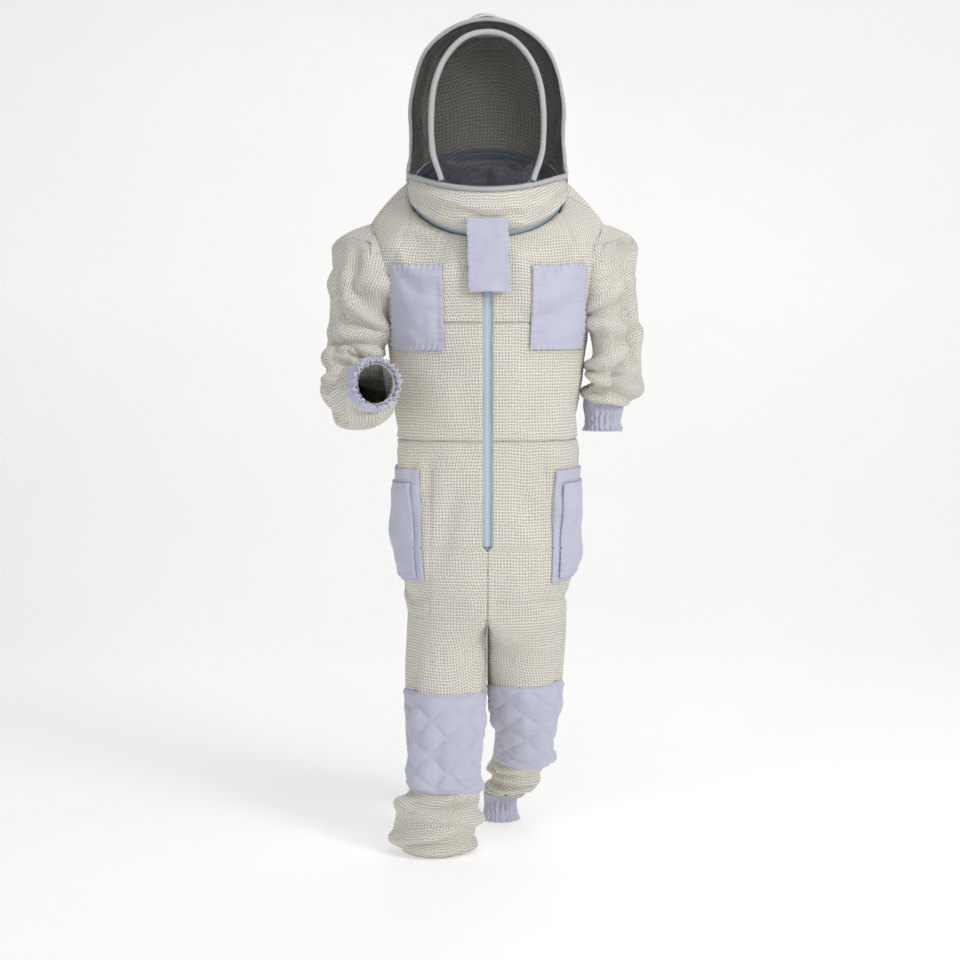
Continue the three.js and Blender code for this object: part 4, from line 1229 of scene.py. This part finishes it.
stitches("seam_stitches", lines, CREAM_THREAD, "suit")


# ---- Gathered cuffs, with their elastic inside ----
def gathered(name, node, look, ring, size, body, folds, depth, thickness, seed):
    """A cuff whose radius waves. ring(angle, s): the smooth cuff. depth(s): how deep its folds are."""
    rows, columns = size
    s, turn = np.meshgrid(np.linspace(0, 1, rows), np.linspace(0, 2 * math.pi, columns), indexing="ij")
    base = ring(turn, s)
    middle = base[:, :-1].mean(axis=1, keepdims=True)
    n = base - middle
    n /= np.linalg.norm(n, axis=-1, keepdims=True)
    stray = np.concatenate([noise((rows, columns - 1), (9, 9), seed, True)] * 2, axis=1)[:, :columns]
    wave = np.sin(folds * turn + 1.9 * stray) + 0.35 * np.sin((folds * 2 - 3) * turn + 2.5 * stray)
    out = depth(s) * (wave * 0.7 + 0.35 * stray)
    grid = base + n * out[..., None]
    uv = grain(base)
    cloth(name, grid, thickness, look, body, node, uv=uv, heart=middle.mean(axis=(0, 1)))


def elastic_look():
    look = Look("elastic_look", roughness=0.85, sheen=0.1)
    rib = look.wave(look.grain(0.0016)[1])
    colour = look.mix(rib, rgb(0.55, 0.55, 0.53), rgb(0.74, 0.74, 0.72))
    return look.finish(colour, rib, 0.4, 0.0006)


ELASTIC = elastic_look()


def wrist(hand):
    tube = limb(SLEEVES[hand])
    start = CUFF_FROM[hand]

    def ring(turn, s):
        p = tube(turn, start + (1 - start) * s)
        middle = p[:, :-1].mean(axis=1, keepdims=True)
        flare = 1 + 0.02 * bump(s, 0.05, 0.1) - 0.10 * bump(s, 0.62, 0.2) + 0.05 * smooth((s - 0.8) / 0.2)
        return middle + (p - middle) * flare[..., None]

    return ring


def wrist_depth(s):
    hem = 0.0042 * smooth((s - 0.78) / 0.2)
    return 0.0006 + 0.0030 * bump(s, 0.62, 0.26) + hem + 0.0012 * bump(s, 0.2, 0.15)


def ankle(hand):
    x, y, r = ANKLES[hand]

    def ring(turn, s):
        radius = r - 0.003 * bump(s, 0.45, 0.25) + 0.003 * bump(s, 1.0, 0.18)
        return points(x + radius * np.sin(turn), y - radius * np.cos(turn), ANKLE_TOP * (1 - s))

    return ring


def ankle_depth(s):
    return 0.0008 + 0.0028 * bump(s, 0.45, 0.3) + 0.0022 * smooth((s - 0.75) / 0.2)


def shrunk(ring, first, length, depth):
    """A stretch of a ring, inside it by that depth."""

    def inner(turn, s):
        p = ring(turn, first + length * s)
        n = p - p[:, :-1].mean(axis=1, keepdims=True)
        return p - n / np.linalg.norm(n, axis=-1, keepdims=True) * depth

    return inner


def cuff(part, hand, ring, body, rows, folds, depth, seed, band):
    node = f"{part}_cuff_{hand}"
    gathered(node + "_drill", node, DRILL, ring, (rows, 241), body, folds, depth, COTTON, seed)
    node = f"{part}_elastic_{hand}"
    inner = shrunk(ring, *band)
    gathered(
        node + "_band", node, ELASTIC, inner, (8, 121), body, folds, lambda s: 0.0012 + 0 * s, ELASTIC_THICK, 3
    )


for hand in ("right", "left"):
    # band: where the elastic starts, how long it is and how deep it lies
    cuff("wrist", hand, wrist(hand), "sleeve_" + hand, 46, 23, wrist_depth, 5, (0.5, 0.28, 0.0052))
    cuff("ankle", hand, ankle(hand), "suit", 40, 21, ankle_depth, 9, (0.25, 0.3, 0.0050))


# ---- Hood ----
TAPE_FACE = 0.1529  # radius of the ring zip's outer face
BASE_HALF = TAPE_FACE + 0.005  # the piping's half width
BASE_END = math.radians(88)  # how far round it goes on each side
BASE_Y, BASE_FRONT = -0.004, -0.174  # its ends and its front
BASE_LOW, BASE_HIGH = 1.319, 1.362
PIPING = 0.005  # radius of the piping
HOOP = 0.0056  # radius of a bound hoop
NET_EDGE = HOOP + 0.0012


def base_point(angle, above=0.0):
    """A point of the piping that the nets stand on."""
    c = np.cos(angle)
    z = BASE_HIGH + (BASE_LOW - BASE_HIGH) * np.maximum(c, 0) ** 1.5
    return points(BASE_HALF * np.sin(angle), BASE_Y + (BASE_FRONT - BASE_Y) * c, z + above)


def arch(rows):
    """A hoop from the wearer's right foot over the top to the left foot."""
    half = np.array(rows, float)
    table = np.concatenate([half[:-1] * [-1, 1, 1], half[::-1]])
    step = np.sqrt(np.linalg.norm(np.diff(table, axis=0), axis=1))
    at = np.concatenate([[0], np.cumsum(step)])
    return stations(np.column_stack([at / at[-1], table]))


HOOP_FOOT = PIPING + 0.0028
FOOT_ANGLE = math.asin(0.089 / BASE_HALF)
front_foot = base_point(np.array(FOOT_ANGLE), HOOP_FOOT)
rear_foot = base_point(np.array(math.pi / 2), HOOP_FOOT)
front_hoop = arch(
    [
        front_foot,
        [0.108, -0.134, 1.400],
        [0.108, -0.128, 1.500],
        [0.0886, -0.120, 1.568],
        [0.0486, -0.111, 1.616],
        [0, -0.108, 1.630],
    ]
)
rear_hoop = arch(
    [
        [rear_foot[0] - 0.004, -0.006, rear_foot[2]],
        [0.152, -0.006, 1.440],
        [0.152, -0.006, 1.515],
        [0.1246, -0.006, 1.602],
        [0.0684, -0.006, 1.652],
        [0, -0.006, 1.668],
    ]
)


def bound_tube(name, node, line, radius, seam, steps=150, around=20):
    """A fabric tube round a line. seam: how far its stitched edge stands out."""
    t = np.linspace(0, 1, steps)
    middle = line(t)
    tangent = np.gradient(middle, axis=0)
    tangent /= np.linalg.norm(tangent, axis=1, keepdims=True)
    side = np.cross(tangent, [0, 1.0, 0.15])
    side /= np.linalg.norm(side, axis=1, keepdims=True)
    out = np.cross(side, tangent)
    turn = np.linspace(0, 2 * math.pi, around)
    wave = noise((steps, around), (4, 5), len(name)) * 0.0005
    r = radius + wave
    r[:, -1] = r[:, 0]
    r = r + seam * bump(np.cos(turn - 2.2), 1.0, 0.25)[None, :]
    grid = middle[:, None] + (
        side[:, None] * np.cos(turn)[None, :, None] + out[:, None] * np.sin(turn)[None, :, None]
    ) * r[..., None]
    cloth(name, grid, BINDING_THICK, BINDING, "hood", node)


BINDING = twill_look("binding_look", (0.44, 0.44, 0.45), (0.54, 0.54, 0.55), 0.0009)
for name, hoop in (("front", front_hoop), ("rear", rear_hoop)):
    node = "hoop_binding_" + name
    bound_tube(node + "_tape", node, hoop, HOOP, 0.0018)
bound_tube("hood_piping_cord", "hood_piping", lambda t: base_point(-BASE_END + 2 * BASE_END * t), PIPING, 0.001)


def net_look():
    """Black woven net: only the threads are there."""
    look = Look("veil_net_look", roughness=0.8)
    u, v = look.grain(0.0027)
    # the lattice is 0 on each thread's middle and rises between threads
    line = look.math("MINIMUM", look.wave(u), look.wave(v))
    thread = look.math("LESS_THAN", line, 0.44)
    colour = look.mix(look.noise(400), rgb(0.010, 0.010, 0.010), rgb(0.03, 0.03, 0.03))
    return look.finish(colour, line, 0.3, 0.0004, alpha=thread)


NET = net_look()
HOOD_HEART = np.array([0, -0.02, 1.45])


def toward(a, b, distance):
    """A point that distance from a on the way to b."""
    return a + (b - a) * (distance / np.linalg.norm(b - a, axis=-1))[..., None]


def front_net():
    s, t = np.meshgrid(np.linspace(0, 1, 60), np.linspace(0, 1, 50), indexing="ij")
    u = 0.012 + 0.438 * s
    right, left = front_hoop(u), front_hoop(1 - u)
    middle = points(0 * u, right[..., 1], 1.48)
    right, left = toward(right, middle, NET_EDGE), toward(left, middle, NET_EDGE)
    low = base_point((0.07 - FOOT_ANGLE) + 2 * (FOOT_ANGLE - 0.07) * t, HOOP_FOOT)
    across = right + (left - right) * t[..., None]
    across[..., 1] -= 0.012 * np.sin(math.pi * t) * np.sin(math.pi * np.minimum(s * 1.2, 1))
    w = smooth(s / 0.16)[..., None]
    grid = low * (1 - w) + across * w
    grid[..., 1] += 0.0015 * noise(s.shape, (14, 10), 71)
    cloth("veil_front_net_mesh", grid, NET_THICK, NET, "hood", "veil_front_net", heart=HOOD_HEART)


def side_net():
    s, t = np.meshgrid(np.linspace(0, 1, 16), np.linspace(0, 1, 130), indexing="ij")
    front, rear = front_hoop(t), rear_hoop(t)
    a, b = toward(front, rear, NET_EDGE), toward(rear, front, NET_EDGE - 0.001)
    p = a + (b - a) * s[..., None]
    side = np.sign(t - 0.5)
    angle = side * (FOOT_ANGLE + 0.06 + (math.pi / 2 - 0.14 - FOOT_ANGLE) * s)
    base = base_point(angle, HOOP_FOOT)
    w = smooth(np.minimum(t, 1 - t) / 0.1)[..., None]
    grid = base * (1 - w) + p * w
    n = outward(grid, HOOD_HEART)
    grid = grid + n * (0.0012 * noise(s.shape, (6, 9), 72) - 0.003 * np.sin(math.pi * s))[..., None]
    cloth("veil_side_net_mesh", grid, NET_THICK, NET, "hood", "veil_side_net", heart=HOOD_HEART)


front_net()
side_net()

COLLAR_END = math.radians(99)  # how far round the collar band goes on each side


def hood_back():
    t = np.linspace(0, 1, 150)[None, :]
    s = np.linspace(0, 1, 70)[:, None]
    s, t = np.broadcast_arrays(s, t)
    edge = rear_hoop(t)
    w = np.sin(math.pi * t) ** 0.6
    start = edge + points(0, NET_EDGE + 0.001 + 0 * t, 0)
    angle = -COLLAR_END - 0.04 + (-2 * math.pi + 2 * COLLAR_END + 0.08) * t
    end = ring_point(angle, TAPE_FACE + 0.0059, RING_EDGE)
    c1 = start + points(edge[..., 0] * 0.06, 0.105 * w, 0.026 * w)
    c2 = end + points(edge[..., 0] * 0.1, 0.062 * w, 0.150 * w)
    grid = bezier(start, c1, c2, end, s)
    n = outward(grid, np.array([0, 0, 1.45]))
    free = smooth(np.minimum(s, 1 - s) / 0.08) * smooth(np.minimum(t, 1 - t) / 0.04)
    folds = 0.004 * noise(s.shape, (12, 10), 81) + 0.002 * noise(s.shape, (5, 6), 82)
    crown = 0.016 * bump(t, 0.5, 0.055) * bump(s, 0.05, 0.09)
    gather = 0.0012 * np.sin(t * 420) * (bump(s, 0.0, 0.05) + bump(s, 1.0, 0.05))
    grid = grid + n * (folds * free + crown + gather)[..., None]
    cloth("hood_back_fabric", grid, MESH, WAFFLE_MESH, "hood", "hood_back", heart=(0, 0, 1.45))


def collar_band():
    s, t = np.meshgrid(np.linspace(0, 1, 44), np.linspace(0, 1, 230), indexing="ij")
    angle = -COLLAR_END + 2 * COLLAR_END * t
    low = ring_point(angle, TAPE_FACE + 0.0059, RING_EDGE)
    high = base_point(np.clip(angle, -BASE_END, BASE_END), -PIPING - 0.0004)
    front = np.maximum(np.cos(angle), 0)
    roll = 0.014 * front * np.sin(math.pi * s) ** 0.8
    stray = noise(s.shape, (44, 26), 91)
    fold = 0.0045 * np.sin(2 * math.pi * (s * 1.9 + 0.18 * stray + 0.12 * np.sin(angle * 3)))
    fold *= np.sin(math.pi * s) * (0.45 + 0.55 * front)
    small = 0.0016 * noise(s.shape, (10, 7), 92) * np.sin(math.pi * s)
    out = points(np.sin(angle), -np.cos(angle), 0 * angle)
    grid = low + (high - low) * s[..., None] + out * (roll + fold + small)[..., None]
    grid[..., 2] += 0.003 * noise(s.shape, (44, 16), 93) * np.sin(math.pi * s)
    droop = 0.012 * front * bump(s, 0.26, 0.2) * smooth((np.abs(angle) - 0.27) / 0.2)
    grid[..., 2] -= droop
    heart = (0, -0.03, 1.36)
    cloth("hood_collar_fabric", grid, MESH, WAFFLE_MESH, "hood", "hood_collar", heart=heart)


hood_back()
collar_band()


def inner_collar():
    """The lining's standing collar: from the ring zip in and up to a gathered, peaked edge."""
    # share, y, z, slope, radius and height over the loop's middle
    rows = [
        [0, RING_CENTRE[1], RING_CENTRE[2], RING_SLOPE, 0.1486, -0.011],
        [1 / 3, -0.022, 1.324, math.radians(24), 0.104, 0],
        [2 / 3, -0.014, 1.340, math.radians(15), 0.090, 0],
        [1, -0.010, 1.366, math.radians(9), 0.087, 0],
    ]
    place = stations(rows)
    s, turn = np.meshgrid(np.linspace(0, 1, 50), np.linspace(0, 2 * math.pi, 181), indexing="ij")
    y, z, slope, r, h = np.moveaxis(place(s), -1, 0)
    stray = np.concatenate([noise((50, 180), (25, 12), 101, True)] * 2, axis=1)[:, :181]
    rise = smooth((s - 0.35) / 0.4)
    r = r + rise * (0.004 * np.sin(9 * turn + 2 * stray) + 0.003 * stray)
    h = h + rise * (0.016 * np.abs(np.sin(2.5 * turn + 0.8)) + 0.006 * stray)
    x, level, up = r * np.sin(turn), -r * np.cos(turn), h
    c, q = np.cos(slope), np.sin(slope)
    grid = points(x, y + level * c - up * q, z + level * q + up * c)
    cloth("inner_collar_drill", grid, COTTON, DRILL, "suit", "inner_collar", heart=(0, -0.02, 1.33))


inner_collar()


# ---- Throat flap: a sheet that hangs from the collar band ----
FLAP = (0.082, 0.143)
FLAP_TOP = 1.264


def throat_flap():
    s, t = np.meshgrid(np.linspace(0, 1, 60), np.linspace(0, 1, 40), indexing="ij")
    x = (t - 0.5) * FLAP[0]
    lean = 0.004 * s
    away = FLAP[0] / 2 - np.abs(x)
    z = FLAP_TOP - FLAP[1] * s
    y = -0.1815 + 0.0075 * s + 0.003 * (x / 0.041) ** 2
    wave = np.sin(z / 0.0125 * 2 * math.pi + 2 * noise(s.shape, (20, 40), 111))
    pucker = 0.0013 * wave * np.exp(-away / 0.008)
    curl = -0.004 * smooth((s - 0.8) / 0.2) * np.sin(math.pi * t)
    curl += 0.0022 * noise(s.shape, (18, 12), 112)
    hem = -0.0010 * (1 - smooth((away - 0.0075) / 0.0015)) - 0.0012 * smooth((s - 0.89) / 0.01)
    edge_wave = 0.0012 * np.sin(z * 120) * (np.abs(t - 0.5) > 0.49)
    grid = points(x + lean + edge_wave, y + pucker + curl * 0.6 + hem, z)
    obj = cloth("throat_flap_drill", grid, 0.0024, DRILL, "throat_flap", "throat_flap", heart=(0, 0, 1.2))
    n = outward(grid, np.array([0, 0, 1.2]))
    lines = []
    for c in (2.0, 5.0, 34.0, 37.0):
        a = np.linspace(1, 58, 80)
        lines.append((sample(grid, a, c + 0 * a), sample(n, a, c + 0 * a)))
    for r in (2.0, 51.0, 53.5, 58.0):
        b = np.linspace(2, 37, 60)
        lines.append((sample(grid, r + 0 * b, b), sample(n, r + 0 * b, b)))
    stitches("throat_flap_stitches", lines, THREAD, "throat_flap")


throat_flap()


# ---- Zips: woven tapes and separate moulded teeth ----
def tape_look():
    look = Look("zip_tape_look", roughness=0.8, sheen=0.1)
    u, v = look.grain(0.0011)
    rib = look.math("MULTIPLY", look.wave(u), look.wave(v))
    colour = look.mix(rib, rgb(0.46, 0.57, 0.66), rgb(0.60, 0.70, 0.79))
    return look.finish(colour, rib, 0.35, 0.0005)


def plastic_look(name, colour):
    look = Look(name, roughness=0.38)
    shade = look.mix(look.noise(300, 2), darker(colour, 0.93), rgb(*colour))
    return look.finish(shade, look.noise(900, 2), 0.08, 0.0002)


def metal_look(name, colour):
    look = Look(name, roughness=0.34, metallic=1.0)
    worn = look.noise(420, 4, 0.7)
    shade = look.mix(worn, darker(colour, 0.72), rgb(*colour))
    return look.finish(shade, worn, 0.12, 0.0002)


TAPE = tape_look()
TEETH = plastic_look("zip_teeth_look", (0.66, 0.75, 0.82))
METAL = metal_look("zip_metal_look", (0.56, 0.57, 0.58))
STEEL = metal_look("hoop_wire_look", (0.55, 0.56, 0.57))
TOOTH_PITCH = 0.0026


def teeth(node, line, across, out, body, offset, width=0.0040, depth=0.0014):
    """A row of teeth along a line: each a small block with a narrower head, set on its pitch."""
    step = np.linalg.norm(np.diff(line, axis=0), axis=1)
    at = np.concatenate([[0], np.cumsum(step)])
    places = np.arange(TOOTH_PITCH * (0.5 + offset), at[-1] - TOOTH_PITCH * 0.4, TOOTH_PITCH)

    def on(values):
        return np.stack([np.interp(places, at, values[:, k]) for k in range(3)], axis=1)

    p, a, n = on(line), on(across), on(out)
    along = np.cross(a, n)
    profile = [(0.0, 0.30), (0.35, 0.30), (0.5, 0.42), (0.92, 0.40), (1.0, 0.26)]
    co = []
    for share, half in profile:
        for i, j in ((-1, -1), (1, -1), (1, 1), (-1, 1)):
            tall = depth * (1 if share < 0.9 else 0.7)
            co.append(p + a * width * share + along * (TOOTH_PITCH * half * i) + n * (tall * j))
    co = np.stack(co, axis=1)
    faces = [(3, 2, 1, 0), tuple(range(16, 20))]
    for k in range(0, 16, 4):
        faces += [(k + m, k + (m + 1) % 4, k + 4 + (m + 1) % 4, k + 4 + m) for m in range(4)]
    every = [tuple(f + 20 * k for f in face) for k in range(len(co)) for face in faces]
    blank = np.zeros((len(co) * 20, 2))
    obj = make(node + "_row", co.reshape(-1, 3), every, blank, TEETH, smooth_shade=False)
    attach(obj, body)
    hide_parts(node)
    return obj


ZIP_TOP = 1.218
ZIP_Y = FRONT + 0.007


def zip_wave(z):
    return 0.0012 * np.sin(z * 21 + 1) + 0.0007 * np.sin(z * 57)


def front_zip(hand, side):
    z = np.linspace(ZIP_BOTTOM, ZIP_TOP, 240)
    zz, xx = np.meshgrid(z, side * np.linspace(0.0022, 0.0168, 9), indexing="ij")
    y = ZIP_Y - 0.0008 + zip_wave(zz) * 0.5 + 0.0006 * smooth((np.abs(xx) - 0.004) / 0.004)
    node = "front_zip_tape_" + hand
    cloth(node + "_weave", points(xx, y, zz), TAPE_THICK, TAPE, "suit", node, heart=(0, 0, 0.9))
    line = points(side * 0.0034 + 0 * z, ZIP_Y + zip_wave(z) * 0.5, z)
    across, out = points(-side + 0 * z, 0, 0), points(0 * z, -1, 0)
    teeth("front_zip_teeth_" + hand, line, across, out, "suit", 0.5 * (side > 0))


def ring_zip(part, side, body):
    angle = np.linspace(0, 2 * math.pi, 361)
    aa, hh = np.meshgrid(angle, side * np.linspace(0.0016, 0.0128, 6), indexing="ij")
    up = np.array([0, -math.sin(RING_SLOPE), math.cos(RING_SLOPE)])
    grid = ring_point(aa, RING_RADIUS + 0.0006, 0) + up * hh[..., None]
    node = "hood_zip_tape_" + part
    cloth(node + "_weave", grid, TAPE_THICK, TAPE, body, node, heart=RING_CENTRE)
    line = ring_point(angle, RING_RADIUS, 0) + up * side * 0.0034
    out = ring_point(angle, 1.0, 0) - ring_point(angle, 0.0, 0)
    teeth("hood_zip_teeth_" + part, line, -side * up + 0 * line, out, body, 0.5 * (side > 0))


def kept(name, material):
    """A CAD piece that stays, in another material."""
    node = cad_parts[name]
    for slot in node.material_slots:
        slot.material = material
    return node


front_zip("right", -1)
front_zip("left", 1)
ring_zip("hood", 1, "hood")
ring_zip("body", -1, "suit")
for name in (
    "front_slider",
    "front_pull",
    "hood_slider_right",
    "hood_slider_left",
    "hood_pull_right",
    "hood_pull_left",
    "front_zip_bottom_stop",
):
    bevel = kept(name, METAL).modifiers.new("rounded", "BEVEL")
    bevel.width, bevel.segments = 0.0003, 2
for name in ("hoop_wire_front", "hoop_wire_rear"):
    kept(name, STEEL)


# ---- Waist elastic and crotch gusset ----
def waist_band():
    low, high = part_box("waist_elastic")
    turn = np.radians(np.linspace(104, 256, 160))
    zz, aa = np.meshgrid(np.linspace(low.z, high.z, 12), turn, indexing="ij")
    band = sample(draped["torso"], *row_column(aa, zz))
    heart = np.array([0, MIDDLE, WAIST])
    n = outward(band, heart)
    band = band - n * (MESH + 0.0025 + 0.0008 * np.sin(aa * 70))[..., None]
    cloth("waist_elastic_band", band, 0.0012, ELASTIC, "suit", "waist_elastic", heart=heart)


def gusset():
    low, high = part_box("crotch_gusset")
    along = np.linspace(low.y, high.y, 60) - ORIGIN[1]
    x, y = np.meshgrid(np.linspace(-GUSSET, GUSSET, 8), along)
    sag = 0.0015 + 0.002 * np.sin(math.pi * (y - y.min()) / np.ptp(y))
    grid = points(x, y, high.z - sag + 0.0006 * noise(x.shape, (8, 4), 121))
    cloth("crotch_gusset_fabric", grid, 0.003, WAFFLE_MESH, "suit", "crotch_gusset", heart=(0, 0, 0.6))


waist_band()
gusset()


# ---- Floor, light and camera ----
def placed(name, data, at, turn):
    obj = bpy.data.objects.new(name, data)
    obj.location = Vector(at) + Vector(ORIGIN.tolist())
    obj.rotation_euler = turn(obj)
    bpy.context.scene.collection.objects.link(obj)
    return obj


def backdrop():
    """A floor that curves up into a wall."""
    look = Look("floor_look", roughness=0.8)
    look.shader.inputs["Emission Color"].default_value = (1, 1, 1, 1)
    look.shader.inputs["Emission Strength"].default_value = 0.34
    colour = look.mix(look.noise(3, 3), rgb(0.76, 0.755, 0.745), rgb(0.80, 0.795, 0.785))
    x, y0, y1, height, bend = 7.0, -6.0, 3.2, 6.0, 1.2
    profile = [(y0, 0), (y1 - bend, 0)]
    for k in range(1, 12):
        a = k / 12 * math.pi / 2
        profile.append((y1 - bend + bend * math.sin(a), bend - bend * math.cos(a)))
    profile += [(y1, bend), (y1, height)]
    co = [(side * x, y, z - 0.0005) for y, z in profile for side in (-1, 1)]
    faces = [(2 * k, 2 * k + 1, 2 * k + 3, 2 * k + 2) for k in range(len(profile) - 1)]
    mesh = bpy.data.meshes.new("floor")
    mesh.from_pydata(co, [], faces)
    mesh.polygons.foreach_set("use_smooth", [True] * len(mesh.polygons))
    mesh.materials.append(look.finish(colour, look.noise(60, 3), 0.05, 0.002))
    floor = bpy.data.objects.new("floor", mesh)
    bpy.context.scene.collection.objects.link(floor)


def lights():
    world = bpy.data.worlds.new("studio")
    bpy.context.scene.world = world
    world.use_nodes = True
    world.node_tree.nodes["Background"].inputs[0].default_value = (0.95, 0.97, 1.0, 1)
    world.node_tree.nodes["Background"].inputs[1].default_value = 0.30
    middle = Vector(ORIGIN.tolist()) + Vector((0, 0, 0.85))
    for name, at, size, power in LIGHTS:
        lamp = bpy.data.lights.new(name, "AREA")
        lamp.shape = "RECTANGLE"
        lamp.size, lamp.size_y = size
        lamp.energy = power
        placed(name, lamp, at, lambda obj: (middle - obj.location).to_track_quat("-Z", "Y").to_euler())


def camera():
    data = bpy.data.cameras.new("camera")
    data.lens, data.sensor_width = CAMERA_LENS, 36
    data.clip_start = 0.05
    obj = placed("camera", data, CAMERA_AT, lambda obj: (math.pi / 2 - CAMERA_PITCH, 0, 0))
    bpy.context.scene.camera = obj
    bpy.context.scene.view_settings.view_transform = "Standard"


# name, place from the suit's own zero, size and power
LIGHTS = [
    ("ceiling", (0.6, -1.4, 3.4), (2.4, 2.0), 30),
    ("key", (2.6, -2.6, 2.4), (1.1, 1.1), 54),
    ("fill", (-2.6, -3.0, 1.5), (2.0, 2.0), 18),
    ("back", (0.5, 2.4, 2.8), (2.0, 1.0), 12),
]
CAMERA_LENS = 73.2
CAMERA_AT = (-0.0144, -4.0, 1.06)
CAMERA_PITCH = math.radians(4.6)
backdrop()
lights()
camera()
